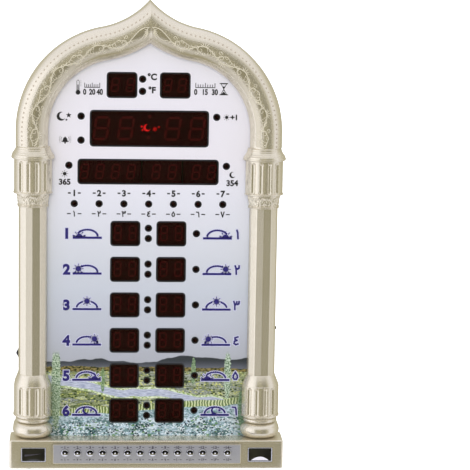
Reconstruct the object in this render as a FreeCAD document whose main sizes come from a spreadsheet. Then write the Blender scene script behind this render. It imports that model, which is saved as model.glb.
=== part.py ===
import FreeCAD, Part
import os
import re
import Sketcher
from FreeCAD import Placement, Rotation, Vector

os.makedirs("parts", exist_ok=True)

doc = FreeCAD.newDocument("azan_clock")
sheet = doc.addObject("Spreadsheet::Sheet", "Sizes")

# Frame: origin on the floor in the middle of the plinth, +X right, +Y to the rear, +Z up.

# ---------------------------------------------------------------- driving sizes, in mm
SIZES = {
    # whole clock
    "case_w": 214,          # width over the arch
    "shaft_len": 137.3,     # length of a column's plain shaft, which sets the clock's height
    "case_back": 15,        # rear face of case and plinth
    "panel_y": -0.5,        # front face of the clear panel
    "axis_y": 2,            # depth of the axis of columns and arch moulding
    "wall": 2.3,            # wall of the arch moulding
    # plinth and feet
    "base_step": 4.4,       # how far the plinth stands out beyond the case on either side
    "base_h": 24,           # height of the plinth's top face
    "base_wall": 2.5,       # wall of the plinth
    "base_edge": 2.2,       # radius of the plinth's upright edges
    "foot_h": 0.8,          # thickness of the rubber feet
    "foot_r": 4,            # radius of a rubber foot
    "foot_inset": 16,       # a corner foot from the plinth's side
    "bottom_t": 2,          # thickness of the plinth's bottom plate
    # arch
    "arch_w": 26.4,         # width of the arch moulding
    "spring_up": 12,        # straight part of the arch above the columns
    "arch_cx": 22.8,        # centre of the haunch from the centre line
    "ogee_cx": 51.58,       # centre of the reverse curve from the centre line
    "ogee_r": 68,           # outer radius of the reverse curve at the point
    "boss_turn": 46.65,     # angle of the screw boss up the haunch
    # columns
    "col_inset": 14.2,      # axis of a column from the side of the case
    "shaft_r": 11.8,        # radius to the corners of the twelve-sided shaft
    "drum_r": 15.4,         # radius of the fluted drums
    "lip_out": 0.6,         # how far the lips under the drums stand out
    "lip_h": 1.3,           # height of those lips
    "collar_out": 0.8,      # how far the collar under the neck stands out
    "abacus_r": 17.6,       # radius of the flared top ring
    "torus_core": 9.9,      # radius to the middle of the foot ring
    "torus_t": 6.4,         # half height of the foot ring
    "band_t": 1.9,          # half height of the ring above the foot ring
    "band_core": 12.3,      # radius to the middle of that ring
    "ped_ring_h": 1.2,      # height of the plain ring under the lower drum
    "ped_drum_h": 26.2,     # height of the lower drum
    "flare_h": 8.6,         # height of the flare between lower drum and shaft
    "neck_h": 10.9,         # height of the neck under the capital
    "cap_drum_h": 28,       # height of the upper drum
    "abacus_h": 10.2,       # height of the flared ring under the arch
    "flute_r": 2,           # radius of a flute
    "flute_turn": 25,       # angle between two flutes
    "flute_end": 3.2,       # end of a flute from the end of its drum
    "pocket_r": 8.8,        # radius of the hollow in a column
    # clear panel, printed sheet and red filter
    "lens_lap": 2.5,        # width by which the clear panel goes behind the frame
    "lens_t": 2,            # thickness of the clear panel
    "print_t": 0.4,         # thickness of the printed sheet
    "filter_t": 0.5,        # thickness of the red filter
    # windows and lamps
    "clock_up": 2.3,        # middle of the main window above the foot of the arch's curve
    "clock_w": 95,          # width of the main window
    "clock_h": 29,          # height of the main window
    "date_down": 35,        # middle of the date window below the middle of the main window
    "date_inset": 50.5,     # end of the date window from the side of the case
    "date_h": 20.1,         # height of the date window
    "date_x": -0.6,         # middle of the date window
    "month_w": 32.4,        # width of the month module
    "days_w": 27.6,         # width of the day module
    "top_up": 34.9,         # middle of the two upper windows above the middle of the main window
    "top_w": 24,            # width of an upper window
    "top_h": 20.3,          # height of an upper window
    "temp_edge": 10.25,     # inner end of the temperature window from the centre line
    "count_edge": 8.3,      # inner end of the countdown window from the centre line
    "week_down": 26.1,      # weekday lamps below the middle of the date window
    "week_pitch": 19.95,    # distance between weekday lamps
    "row_down": 24,         # top prayer row below the weekday lamps
    "row_foot": 21.25,      # bottom prayer row above the plinth
    "row_gap": 6.675,       # inner end of a prayer window from the centre line
    "row_w": 23.85,         # width of a prayer window
    "row_h": 20.25,         # height of a prayer window
    "due_gap": 8.375,       # status lamp from the end of its row
    "lamp_gap": 7.2,        # lamp from the left end of its window
    "lamp_gap_right": 6.4,  # lamp from the right end of its window
    "lamp_r": 2.75,         # radius of a lamp opening
    "pair_up": 4.9,         # half distance between the two degree lamps
    "colon_up": 4.2,        # half distance between the two lamps of a colon
    "pane_corner": 2.6,     # corner radius of a window
    # plinth's front
    "eye_inset": 19.2,      # middle of a sensor window from the plinth's side
    "eye_w": 20,            # width of a sensor window
    "eye_margin": 12,       # plinth height less the height of a sensor window
    "bezel_w": 1,           # width of a sensor window's bright rim
    "plate_gap": 5.65,      # button plate from a sensor window
    "plate_end": 10.38,     # last button from the end of the plate
    "plate_x": 0.4,         # middle of the button plate from the centre line
    "plate_margin": 7.9,    # plinth height less the height of the button plate
    "plate_t": 0.6,         # thickness of the button plate
    "key_shift": -0.2,      # middle of the button row from the centre line
    "key_up": 1.1,          # button row above the middle of the plate
    "key_r": 3,             # radius of a button
    "key_gap": 0.3,         # clearance round a moving piece
    # fittings
    "board_t": 1.6,         # thickness of the boards
    "chip_t": 1.6,          # thickness of the chips
    "processor_w": 18,      # side of the processor
    "driver_w": 8,          # width of a display driver
    "driver_h": 14,         # length of a display driver
    "cover_t": 2,           # thickness of the rear cover
    "board_gap": 3.8,       # front of the main board from the rear cover
    "board_clear": 13,      # main board from the inside of a column
    "switch_up": 15.4,      # slide switch above the foot of the shaft
    "bead_up": 36.7,        # temperature bead above the foot of the shaft
    "bead_r": 1.65,         # radius of the temperature bead
    "speaker_down": 35.14,  # middle of the speaker below the tip of the arch
    "speaker_r": 17.5,      # radius of the speaker
    "jack_inset": 41.4,     # power inlet from the plinth's side
    "jack_r": 2.8,          # radius of the power inlet's socket
    "hang_inset": 47,       # keyhole from the side of the case
    "hang_up": 16,          # keyhole's round entry above the foot of the arch's curve
    "screw_r": 1.25,        # radius of a screw's thread
}

# ---------------------------------------------------------------- sizes that follow from them
FORMULAS = {
    "arch_x": "case_w / 2",
    "base_w": "case_w + 2 * base_step",
    "base_y": "case_back",
    "foot_x": "base_w / 2 - foot_inset",
    "foot_y": "base_y - base_wall - foot_r",
    "col_x": "arch_x - col_inset",
    "ped_ring_z": "base_h + 2 * torus_t + 2 * band_t",
    "ped_drum_z": "ped_ring_z + ped_ring_h",
    "ped_top_z": "ped_drum_z + ped_drum_h",
    "shaft_z": "ped_top_z + flare_h",
    "neck_z": "shaft_z + shaft_len",
    "cap_drum_z": "neck_z + neck_h",
    "abacus_z": "cap_drum_z + cap_drum_h",
    "arch_z": "abacus_z + abacus_h",
    "spring_z": "arch_z + spring_up",
    "arch_r": "arch_x - arch_cx",
    "arch_turn": "acos((ogee_cx - arch_cx) / (arch_r + ogee_r)) / 1deg",
    "point_turn": "arch_turn - acos(ogee_cx / ogee_r) / 1deg",
    "ogee_cz": "spring_z + (arch_r + ogee_r) * sin(arch_turn * 1deg)",
    "apex_z": "ogee_cz - sqrt(ogee_r * ogee_r - ogee_cx * ogee_cx)",
    "boss_r": "arch_r - arch_w / 2 - 2.24",
    "boss_x": "arch_cx + boss_r * cos(boss_turn * 1deg)",
    "boss_z": "spring_z + boss_r * sin(boss_turn * 1deg)",
    "lens_back": "panel_y + lens_t",
    "print_back": "lens_back + print_t",
    "filter_back": "print_back + filter_t",
    "lens_d": "arch_w - lens_lap",
    "cover_y": "case_back - cover_t",
    "board_y": "cover_y - board_gap",
    "board_x": "col_x - pocket_r - board_clear",
    "post_x": "board_x - 5",
    "post_top_z": "spring_z + 25",
    "post_mid_z": "row_z - 2.2",
    "post_low_z": "base_h + 38",
    "clock_z": "spring_z + clock_up",
    "top_z": "clock_z + top_up",
    "date_z": "clock_z - date_down",
    "date_w": "2 * (arch_x - date_inset)",
    "year_w": "date_w - month_w - days_w - 2.2",
    "year_x": "date_x - date_w / 2 + year_w / 2 + 0.2",
    "month_x": "year_x + year_w / 2 + month_w / 2 + 0.5",
    "days_x": "month_x + month_w / 2 + days_w / 2 + 0.6",
    "week_z": "date_z - week_down",
    "row_z": "week_z - row_down",
    "row_pitch": "(row_z - base_h - row_foot) / 5",
    "row_x": "row_gap + row_w / 2",
    "due_x": "row_x + row_w / 2 + due_gap",
    "temp_x": "-temp_edge - top_w / 2",
    "count_x": "count_edge + top_w / 2",
    "eye_x": "base_w / 2 - eye_inset",
    "eye_h": "base_h - eye_margin",
    "plate_w": "2 * (eye_x - eye_w / 2 - plate_gap)",
    "plate_h": "base_h - plate_margin",
    "plate_z": "(base_h + foot_h) / 2 + 0.2",
    "key_z": "plate_z + key_up",
    "eye_z": "plate_z - 0.5",
    "key_pitch": "(plate_w - 2 * plate_end) / 13",
    "side_y": "(axis_y + case_back) / 2",
    "switch_z": "shaft_z + switch_up",
    "bead_z": "shaft_z + bead_up",
    "speaker_z": "apex_z - speaker_down",
    "speaker_t": "cover_y - filter_back - 1.1",
    "jack_x": "base_w / 2 - jack_inset",
    "jack_z": "plate_z - 0.1",
    "hang_x": "arch_x - hang_inset",
    "hang_z": "spring_z + hang_up",
    "cell_x": "-row_x - row_w / 2 - 17.475",
    "cell_z": "row_z - 2.4566 * row_pitch",
}
aliases = list(SIZES) + list(FORMULAS)
for line, alias in enumerate(aliases, 1):
    sheet.set("A%d" % line, alias)
    sheet.set("B%d" % line, str(SIZES[alias]) if alias in SIZES else "=" + FORMULAS[alias])
    sheet.setAlias("B%d" % line, alias)
doc.recompute()


def full(expression):
    """Put the sheet's name before every alias in an expression."""
    def swap(match):
        word = match.group(0)
        return "Sizes." + word if word in aliases else word
    return re.sub(r"[A-Za-z_][A-Za-z_0-9]*", swap, str(expression))


def bind(obj, prop, expression):
    obj.setExpression(prop, full(expression))
    return obj


def put(obj, x=0, y=0, z=0, rotation=None):
    if rotation is not None:
        obj.Placement = Placement(Vector(0, 0, 0), rotation)
    for key, value in (("x", x), ("y", y), ("z", z)):
        bind(obj, "Placement.Base." + key, value)
    return obj


ALONG_Y = Rotation(Vector(1, 0, 0), -90)
ALONG_X = Rotation(Vector(0, 1, 0), 90)
FRONT_HALF = Rotation(Vector(0, 0, 1), 180)


def block(name, x0, x1, y0, y1, z0, z1):
    obj = doc.addObject("Part::Box", name)
    bind(obj, "Length", "(%s)-(%s)" % (x1, x0))
    bind(obj, "Width", "(%s)-(%s)" % (y1, y0))
    bind(obj, "Height", "(%s)-(%s)" % (z1, z0))
    return put(obj, x0, y0, z0)


def centred(name, x, width, y0, y1, z, height):
    return block(name, "(%s)-(%s)/2" % (x, width), "(%s)+(%s)/2" % (x, width), y0, y1,
                 "(%s)-(%s)/2" % (z, height), "(%s)+(%s)/2" % (z, height))


def rod(name, radius, length, x, y, z, rotation=None):
    obj = doc.addObject("Part::Cylinder", name)
    bind(obj, "Radius", radius)
    bind(obj, "Height", length)
    return put(obj, x, y, z, rotation)


def rod_y(name, radius, y0, y1, x, z):
    return rod(name, radius, "(%s)-(%s)" % (y1, y0), x, y0, z, ALONG_Y)


def ball(name, radius, x, y, z):
    obj = doc.addObject("Part::Sphere", name)
    bind(obj, "Radius", radius)
    return put(obj, x, y, z)


def fuse(name, parts):
    obj = doc.addObject("Part::MultiFuse", name)
    obj.Shapes = parts
    obj.Refine = True
    return obj


def cut(name, base, tools):
    tool = tools
    if isinstance(tools, list):
        tool = fuse(name + "_cutter", tools) if len(tools) > 1 else tools[0]
    obj = doc.addObject("Part::Cut", name)
    obj.Base = base
    obj.Tool = tool
    obj.Refine = True
    return obj


def common(name, parts):
    obj = doc.addObject("Part::MultiCommon", name)
    obj.Shapes = parts
    obj.Refine = True
    return obj


def group(name, parts):
    obj = doc.addObject("Part::Compound", name)
    obj.Links = parts
    return obj


def mirror_x(name, source):
    obj = doc.addObject("Part::Mirroring", name)
    obj.Source = source
    obj.Normal = (1, 0, 0)
    return obj


def rounded_y(name, box, radius):
    """Round the four edges of a box that run front to back."""
    doc.recompute()
    edges = []
    for i, edge in enumerate(box.Shape.Edges, 1):
        a, b = (v.Point for v in edge.Vertexes)
        if abs(a.x - b.x) < 1e-6 and abs(a.z - b.z) < 1e-6:
            edges.append((i, radius, radius))
    obj = doc.addObject("Part::Fillet", name)
    obj.Base = box
    obj.Edges = edges
    return obj


def rounded_z(name, box, radius):
    """Round the upright edges of a box."""
    doc.recompute()
    edges = []
    for i, edge in enumerate(box.Shape.Edges, 1):
        a, b = (v.Point for v in edge.Vertexes)
        if abs(a.x - b.x) < 1e-6 and abs(a.y - b.y) < 1e-6:
            edges.append((i, radius, radius))
    obj = doc.addObject("Part::Fillet", name)
    obj.Base = box
    obj.Edges = edges
    return obj


# ---------------------------------------------------------------- arch


def d_profile(name, rho, radius, back):
    """Half round in front and straight flanks behind, centred at rho on the local X axis."""
    sk = doc.addObject("Sketcher::SketchObject", name)
    doc.recompute()
    r0, r, b = 80.0, 10.0, 13.0
    arc = Part.ArcOfCircle(Part.Circle(Vector(r0, 0, 0), Vector(0, 0, 1), r), 3.14159265, 6.2831853)
    sk.addGeometry(arc, False)
    sk.addGeometry(Part.LineSegment(Vector(r0 + r, 0, 0), Vector(r0 + r, b, 0)), False)
    sk.addGeometry(Part.LineSegment(Vector(r0 + r, b, 0), Vector(r0 - r, b, 0)), False)
    sk.addGeometry(Part.LineSegment(Vector(r0 - r, b, 0), Vector(r0 - r, 0, 0)), False)
    con = Sketcher.Constraint
    sk.addConstraint(con("Coincident", 0, 2, 1, 1))
    sk.addConstraint(con("Coincident", 1, 2, 2, 1))
    sk.addConstraint(con("Coincident", 2, 2, 3, 1))
    sk.addConstraint(con("Coincident", 3, 2, 0, 1))
    sk.addConstraint(con("Vertical", 1))
    sk.addConstraint(con("Horizontal", 2))
    sk.addConstraint(con("Vertical", 3))
    sk.addConstraint(con("PointOnObject", 0, 3, -1))
    sk.addConstraint(con("PointOnObject", 0, 1, -1))
    sk.addConstraint(con("PointOnObject", 0, 2, -1))
    for label, text in (
            (sk.addConstraint(con("DistanceX", -1, 1, 0, 3, r0)), rho),
            (sk.addConstraint(con("Radius", 0, r)), radius),
            (sk.addConstraint(con("DistanceY", 1, 1, 1, 2, b)), back)):
        sk.setExpression("Constraints[%d]" % label, full(text))
    return sk


def turned(name, profile, axis, angle):
    obj = doc.addObject("Part::Revolution", name)
    obj.Source = profile
    obj.Axis = axis
    obj.Base = (0, 0, 0)
    obj.Solid = True
    bind(obj, "Angle", angle)
    return obj


def pushed(name, profile, direction, length):
    obj = doc.addObject("Part::Extrusion", name)
    obj.Base = profile
    obj.DirMode = "Custom"
    obj.Dir = direction
    obj.Solid = True
    bind(obj, "LengthFwd", length)
    return obj


def arch_tube(name, radius, back, foot):
    """The whole arch as a swept moulding of the given half width and depth."""
    haunch_profile = d_profile(name + "_haunch_profile", "arch_r - arch_w / 2", radius, back)
    haunch = turned(name + "_haunch", haunch_profile, (0, -1, 0), "arch_turn")
    put(haunch, "arch_cx", "axis_y", "spring_z")
    leg = pushed(name + "_leg", haunch_profile, (0, 0, -1), "spring_z - (%s)" % foot)
    put(leg, "arch_cx", "axis_y", "spring_z")
    point_profile = d_profile(name + "_point_profile", "ogee_r + arch_w / 2", radius, back)
    point = turned(name + "_point", point_profile, (0, 1, 0), "point_turn + 10")
    point.Placement = Placement(Vector(0, 0, 0), Rotation(Vector(0, 1, 0), 100.9))
    bind(point, "Placement.Rotation.Angle", "(180 - arch_turn) * 1deg")
    for key, value in (("x", "ogee_cx"), ("y", "axis_y"), ("z", "ogee_cz")):
        bind(point, "Placement.Base." + key, value)
    side = fuse(name + "_sides", [haunch, leg, point])
    half = common(name + "_half", [side, block(name + "_half_space", 0, "arch_x + 10", -40, 60,
                                               "(%s) - 5" % foot, "spring_z + arch_r * 2")])
    return fuse(name, [half, mirror_x(name + "_other_half", half)])


def arch_plate(name, inset, y0, y1, z0):
    """A flat plate whose edge runs at a given inset from the outside of the case."""
    top = "spring_z + arch_r + 40"
    low = block(name + "_low", 0, "arch_x - (%s)" % inset, y0, y1, z0, "spring_z")
    disc = common(name + "_disc", [
        rod_y(name + "_round", "arch_r - (%s)" % inset, y0, y1, "arch_cx", "spring_z"),
        block(name + "_quarter", 0, "arch_x", y0, y1, "spring_z", top)])
    core = cut(name + "_core", block(
        name + "_core_block", 0, "arch_cx + (arch_r - (%s)) * cos(arch_turn * 1deg)" % inset, y0, y1,
        "spring_z", top), rod_y(name + "_reverse", "ogee_r + (%s)" % inset, "(%s) - 5" % y0,
                                "(%s) + 5" % y1, "ogee_cx", "ogee_cz"))
    half = fuse(name + "_half", [low, disc, core])
    return fuse(name, [half, mirror_x(name + "_other_half", half)])


arch_outer = arch_tube("arch_outer", "arch_w / 2", "case_back - axis_y", "arch_z")
arch_pocket = arch_tube("arch_pocket", "arch_w / 2 - wall", "case_back - axis_y + 5", "arch_z - 2")
seat = arch_plate("panel_seat", "lens_d - 0.3", "panel_y", "case_back + 5", "arch_z - 2")
arch_shell = cut("arch_shell", arch_outer, [arch_pocket, seat])


def boss(name, x, z):
    tube = rod_y(name + "_tube", 3.2, "axis_y - pocket_r - 0.7", "cover_y", x, z)
    return cut(name, tube, [rod_y(name + "_hole", "screw_r", "cover_y - 10", "cover_y + 1", x, z)])


arch_bosses = [boss("arch_boss_" + s, sign + "boss_x", "boss_z")
               for s, sign in (("left", "-"), ("right", ""))]
arch_frame = fuse("arch_frame", [arch_shell] + arch_bosses)

# ---------------------------------------------------------------- columns


def ring_profile(name, points):
    """Closed outline of straight lines; every corner is held by two bound distances."""
    sk = doc.addObject("Sketcher::SketchObject", name)
    sk.Placement = Placement(Vector(0, 0, 0), Rotation(Vector(1, 0, 0), 90))
    doc.recompute()
    values = [(float(sheet_value(r)), float(sheet_value(z))) for r, z in points]
    n = len(points)
    for i in range(n):
        a, b = values[i], values[(i + 1) % n]
        sk.addGeometry(Part.LineSegment(Vector(a[0], a[1], 0), Vector(b[0], b[1], 0)), False)
    for i in range(n):
        sk.addConstraint(Sketcher.Constraint("Coincident", i, 2, (i + 1) % n, 1))
    for i, (r, z) in enumerate(points):
        if str(r) == "0":
            sk.addConstraint(Sketcher.Constraint("PointOnObject", i, 1, -2))
        else:
            k = sk.addConstraint(Sketcher.Constraint("DistanceX", -1, 1, i, 1, values[i][0]))
            sk.setExpression("Constraints[%d]" % k, full(r))
        k = sk.addConstraint(Sketcher.Constraint("DistanceY", -1, 1, i, 1, values[i][1]))
        sk.setExpression("Constraints[%d]" % k, full(z))
    return sk


def sheet_value(expression):
    probe = doc.addObject("App::FeaturePython", "probe")
    probe.addProperty("App::PropertyFloat", "Value")
    probe.setExpression("Value", full(expression))
    probe.recompute()
    value = probe.Value
    doc.removeObject(probe.Name)
    return value


def turned_stack(name, points):
    """Front half turned about the column's axis, flanks carried straight back."""
    profile = ring_profile(name + "_profile", points)
    front = turned(name + "_front", profile, (0, 0, 1), 180)
    front.Placement = Placement(Vector(0, 0, 0), FRONT_HALF)
    half = pushed(name + "_flank", profile, (0, 1, 0), "case_back - axis_y")
    return [front, half, mirror_x(name + "_flank_2", half)]


def drum_foot(z):
    """Outline of a drum's lower end with its thin lip."""
    return [("drum_r", z), ("drum_r + lip_out", "%s + 0.3" % z), ("drum_r + lip_out", "%s + lip_h - 0.3" % z),
            ("drum_r", "%s + lip_h + 0.4" % z)]


pedestal = turned_stack("pedestal", [
    ("0", "base_h + 2 * torus_t"), ("band_core", "base_h + 2 * torus_t"), ("band_core", "ped_ring_z"),
    ("band_core + band_t", "ped_ring_z + 0.2"), ("band_core + band_t", "ped_drum_z")] + drum_foot("ped_drum_z") + [
    ("drum_r", "ped_top_z - 0.9"), ("drum_r - 0.3", "ped_top_z"), ("shaft_r + 1.9", "shaft_z - 3.9"),
    ("shaft_r + 0.3", "shaft_z - 0.6"), ("shaft_r + 0.2", "shaft_z"), ("0", "shaft_z")])
capital = turned_stack("capital", [
    ("0", "neck_z"), ("shaft_r + 0.4", "neck_z"), ("shaft_r + collar_out", "neck_z + 0.5"),
    ("shaft_r + collar_out", "neck_z + 1.8"), ("shaft_r + 0.2", "neck_z + 2.3"), ("drum_r - 2", "cap_drum_z")]
    + drum_foot("cap_drum_z") + [
    ("drum_r", "abacus_z"), ("abacus_r - 0.6", "abacus_z"), ("abacus_r", "abacus_z + 0.8"),
    ("abacus_r", "abacus_z + 1.8"), ("arch_w / 2 + 1.1", "arch_z - 0.4"), ("arch_w / 2 + 0.9", "arch_z"),
    ("0", "arch_z")])


def foot_ring(name, core, half_height, z):
    """A half-round ring, open at the back, with flanks carried straight back."""
    ring = doc.addObject("Part::Torus", name + "_ring")
    bind(ring, "Radius1", core)
    bind(ring, "Radius2", half_height)
    ring.Angle3 = 180
    put(ring, 0, 0, z, FRONT_HALF)
    disc = doc.addObject("Part::Cylinder", name + "_disc")
    bind(disc, "Radius", core)
    bind(disc, "Height", "2 * (%s)" % half_height)
    disc.Angle = 180
    put(disc, 0, 0, "(%s) - (%s)" % (z, half_height), FRONT_HALF)
    middle = block(name + "_middle", "-(%s)" % core, core, 0, "case_back - axis_y",
                   "(%s) - (%s)" % (z, half_height), "(%s) + (%s)" % (z, half_height))
    sides = [rod(name + "_side_%d" % i, half_height, "case_back - axis_y", s + "(" + core + ")", 0, z,
                 ALONG_Y) for i, s in ((1, "-"), (2, ""))]
    return [ring, disc, middle] + sides


torus_parts = foot_ring("torus", "torus_core", "torus_t", "base_h + torus_t")
band_parts = foot_ring("band", "band_core", "band_t", "base_h + 2 * torus_t + band_t")
shaft = doc.addObject("Part::Prism", "shaft")
shaft.Polygon = 12
bind(shaft, "Circumradius", "shaft_r")
bind(shaft, "Height", "neck_z - shaft_z")
put(shaft, 0, 0, "shaft_z")
shaft_flank = block("shaft_flank", "-shaft_r", "shaft_r", 0, "case_back - axis_y", "shaft_z", "neck_z")


def flutes(name, low, high):
    made = []
    for i in range(6):
        x = "(drum_r + 0.7) * sin(%s * flute_turn * 1deg)" % (i - 2.5)
        y = "-(drum_r + 0.7) * cos(%s * flute_turn * 1deg)" % (i - 2.5)
        made.append(rod("%s_%d" % (name, i), "flute_r", "(%s) - (%s) - 2 * flute_end" % (high, low), x, y,
                        "(%s) + flute_end" % low))
        made.append(ball("%s_%d_low" % (name, i), "flute_r", x, y, "(%s) + flute_end" % low))
        made.append(ball("%s_%d_high" % (name, i), "flute_r", x, y, "(%s) - flute_end" % high))
    return made


column_solid = fuse("column_solid", pedestal + capital + torus_parts + band_parts + [shaft, shaft_flank])
hollow_round = rod("hollow_round", "pocket_r", "arch_z - base_h + 4", 0, 0, "base_h - 2")
hollow_back = block("hollow_back", "-pocket_r", "pocket_r", 0, "case_back - axis_y + 5", "base_h - 2",
                    "arch_z + 2")
rear_off = block("rear_off", "-2 * drum_r", "2 * drum_r", "case_back - axis_y", 60, "base_h - 5", "arch_z + 5")
column_hollow = cut("column_hollow", column_solid, [hollow_round, hollow_back, rear_off]
                    + flutes("low_flute", "ped_drum_z", "ped_top_z")
                    + flutes("high_flute", "cap_drum_z", "abacus_z"))
put(column_hollow, "col_x", "axis_y", 0)
inner_side = block("inner_side", "col_x - 2 * drum_r", "col_x - pocket_r + 0.1", "panel_y", "case_back + 5",
                   "base_h - 2", "arch_z + 2")
column_open = cut("column_open", column_hollow, [inner_side])
column_right = fuse("column_right", [column_open, boss("boss_low", "col_x", "ped_drum_z + 20.2"),
                                     boss("boss_high", "col_x", "cap_drum_z + 11.2")])
right_column = cut("right_column", column_right, [
    rod("bead_hole", "bead_r", 12, "col_x + 4", "side_y", "bead_z", ALONG_X)])
left_column = cut("left_column", mirror_x("column_left", column_right), [
    block("switch_slot", "-col_x - shaft_r - 5", "-col_x - 6", "side_y - 2", "side_y + 2", "switch_z - 4.5",
          "switch_z + 2.5")])

# ---------------------------------------------------------------- plinth
plinth_block = rounded_z("plinth_block", block(
    "plinth_box", "-base_w / 2", "base_w / 2", "-base_y", "base_y", "foot_h", "base_h"), SIZES["base_edge"])
plinth_inside = block("plinth_inside", "-base_w / 2 + base_wall", "base_w / 2 - base_wall",
                      "-base_y + base_wall", "base_y - base_wall", "foot_h - 5", "base_h - 2")
plate_recess = centred("plate_recess", "plate_x", "plate_w + 0.4", "-base_y - 1", "-base_y + 1", "plate_z",
                       "plate_h + 0.4")
key_x = ["%s * key_pitch + key_shift" % (i - 6.5) for i in range(14)]
key_holes = [rod_y("key_hole_%d" % i, "key_r + key_gap", "-base_y - 2", "-base_y + 4", x, "key_z")
             for i, x in enumerate(key_x)]
eye_holes = [centred("eye_hole_" + s, sign + "eye_x + plate_x", "eye_w", "-base_y - 1", "-base_y + 4", "eye_z",
                     "eye_h") for s, sign in (("left", "-"), ("right", ""))]
jack_hole = centred("jack_hole", "jack_x", 9, "base_y - 4", "base_y + 1", "jack_z", 11)
wire_slot = block("wire_slot", -16, 16, "board_y - 4.2", "board_y + 2.8", "base_h - 4", "base_h + 1")
plinth_open = cut("plinth_open", plinth_block, [plinth_inside, plate_recess, jack_hole, wire_slot]
                  + key_holes + eye_holes)
base_screw_x = ("-jack_x + 20", "jack_x - 20")
base_bosses = [cut("base_boss_%d" % i, rod("base_boss_tube_%d" % i, 3.2, "base_h - foot_h - bottom_t - 1", x, 4,
                                           "foot_h + bottom_t"),
                   [rod("base_boss_hole_%d" % i, "screw_r", 12, x, 4, "foot_h + 1")])
               for i, x in enumerate(base_screw_x)]
base_plinth = fuse("base_plinth", [plinth_open] + base_bosses)

bottom_plate = block("bottom_plate", "-base_w / 2 + base_wall", "base_w / 2 - base_wall",
                     "-base_y + base_wall", "base_y - base_wall", "foot_h", "foot_h + bottom_t")
foot_xy = [(x, y) for x in ("-foot_x", "foot_x") for y in ("-foot_y", "foot_y")] + [("0", "0")]
plate_holes = []
for i, x in enumerate(base_screw_x):
    plate_holes += [rod("plate_screw_hole_%d" % i, 1.6, 6, x, 4, -1),
                    rod("plate_screw_sink_%d" % i, 3, "foot_h + 1.2", x, 4, 0)]
base_bottom_plate = cut("base_bottom_plate", bottom_plate, plate_holes)
rubber_feet = group("rubber_feet", [
    rod("foot_%d" % i, "foot_r", "foot_h", x, y, 0) for i, (x, y) in enumerate(foot_xy)])

plate_blank = rounded_y("plate_blank", centred(
    "plate_box", "plate_x", "plate_w", "-base_y + 1 - plate_t", "-base_y + 1", "plate_z", "plate_h"), 0.8)
button_label_plate = cut("button_label_plate", plate_blank, [
    rod_y("plate_hole_%d" % i, "key_r + key_gap", "-base_y - 1", "-base_y + 2", x, "key_z")
    for i, x in enumerate(key_x)])


def eye(side, sign, bulge):
    x = sign + "eye_x + plate_x"
    outer = rounded_y(side + "_bezel_blank", centred(
        side + "_bezel_box", x, "eye_w", "-base_y - 0.35", "-base_y + 2.5", "eye_z",
        "eye_h"), 0.8)
    bezel = cut(side + "_window_bezel", outer, [centred(
        side + "_bezel_gap", x, "eye_w - 2 * bezel_w", "-base_y - 3", "-base_y + 4", "eye_z",
        "eye_h - 2 * bezel_w")])
    pane = centred(side + "_pane", x, "eye_w - 2 * bezel_w", "-base_y + 0.1", "-base_y + 2.5", "eye_z",
                   "eye_h - 2 * bezel_w")
    dome = common(side + "_dome", [
        centred(side + "_dome_box", x, "eye_w - 2 * bezel_w", "-base_y - 3", "-base_y + 1", "eye_z",
                "eye_h - 2 * bezel_w"),
        rod(side + "_dome_round", 22, "eye_w", "%s - eye_w / 2" % x, "-base_y + 22 - %s" % bulge,
            "eye_z", ALONG_X)])
    return bezel, fuse(side + "_window", [pane, dome])


left_window_bezel, left_window = eye("left", "-", 0.5)
right_window_bezel, right_window = eye("right", "", 0.7)

# ---------------------------------------------------------------- clear panel, print and filter
front_lens = arch_plate("front_lens", "lens_d", "panel_y", "lens_back", "base_h")
print_blank = arch_plate("print_blank", "lens_d", "lens_back", "print_back", "base_h")
red_filter = arch_plate("red_filter", "lens_d + 1", "print_back", "filter_back", "base_h + 4")

windows = [("clock", "0", "clock_z", "clock_w", "clock_h"), ("date", "date_x", "date_z", "date_w", "date_h"),
           ("temp", "temp_x", "top_z", "top_w", "top_h"), ("count", "count_x", "top_z", "top_w", "top_h")]
for i in range(6):
    for s, sign in (("l", "-"), ("r", "")):
        windows.append(("row_%d%s" % (i + 1, s), sign + "row_x", "row_z - %d * row_pitch" % i,
                        "row_w", "row_h"))
window_cuts = [rounded_y(n + "_window", centred(n + "_window_box", x, w, "lens_back - 2", "print_back + 2",
                                                z, h), SIZES["pane_corner"])
               for n, x, z, w, h in windows]

lamps = [("celsius", "-temp_edge + 4.4", "top_z + pair_up"),
         ("fahrenheit", "-temp_edge + 4.4", "top_z - pair_up"),
         ("pm", "-clock_w / 2 - lamp_gap", "clock_z + clock_h / 3"),
         ("alarm", "-clock_w / 2 - lamp_gap", "clock_z - clock_h / 3"),
         ("summer", "clock_w / 2 + lamp_gap_right", "clock_z + clock_h / 3"),
         ("solar", "date_x - date_w / 2 - lamp_gap", "date_z + date_h / 4"),
         ("lunar", "date_x + date_w / 2 + lamp_gap_right", "date_z + date_h / 4")]
for i in range(7):
    lamps.append(("day_%d" % (i + 1), "%d * week_pitch" % (i - 3), "week_z"))
for i in range(6):
    z = "row_z - %d * row_pitch" % i
    lamps.append(("colon_%d_high" % (i + 1), "0", z + " + colon_up"))
    lamps.append(("colon_%d_low" % (i + 1), "0", z + " - colon_up"))
    lamps.append(("due_%d" % (i + 1), "due_x", z))
lamp_cuts = [rod_y(n + "_opening", "lamp_r", "lens_back - 2", "print_back + 2", x, z) for n, x, z in lamps]
printed_panel = cut("printed_panel", print_blank, window_cuts + lamp_cuts)
indicator_leds = group("indicator_leds", [
    rod_y(n + "_led", "lamp_r - 0.25", "filter_back", "board_y", x, z) for n, x, z in lamps])

# ---------------------------------------------------------------- displays and boards


def module(name, x, z, w, h):
    return centred(name, x, "%s - 0.8" % w, "filter_back", "board_y", z, "%s - 0.8" % h)


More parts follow.
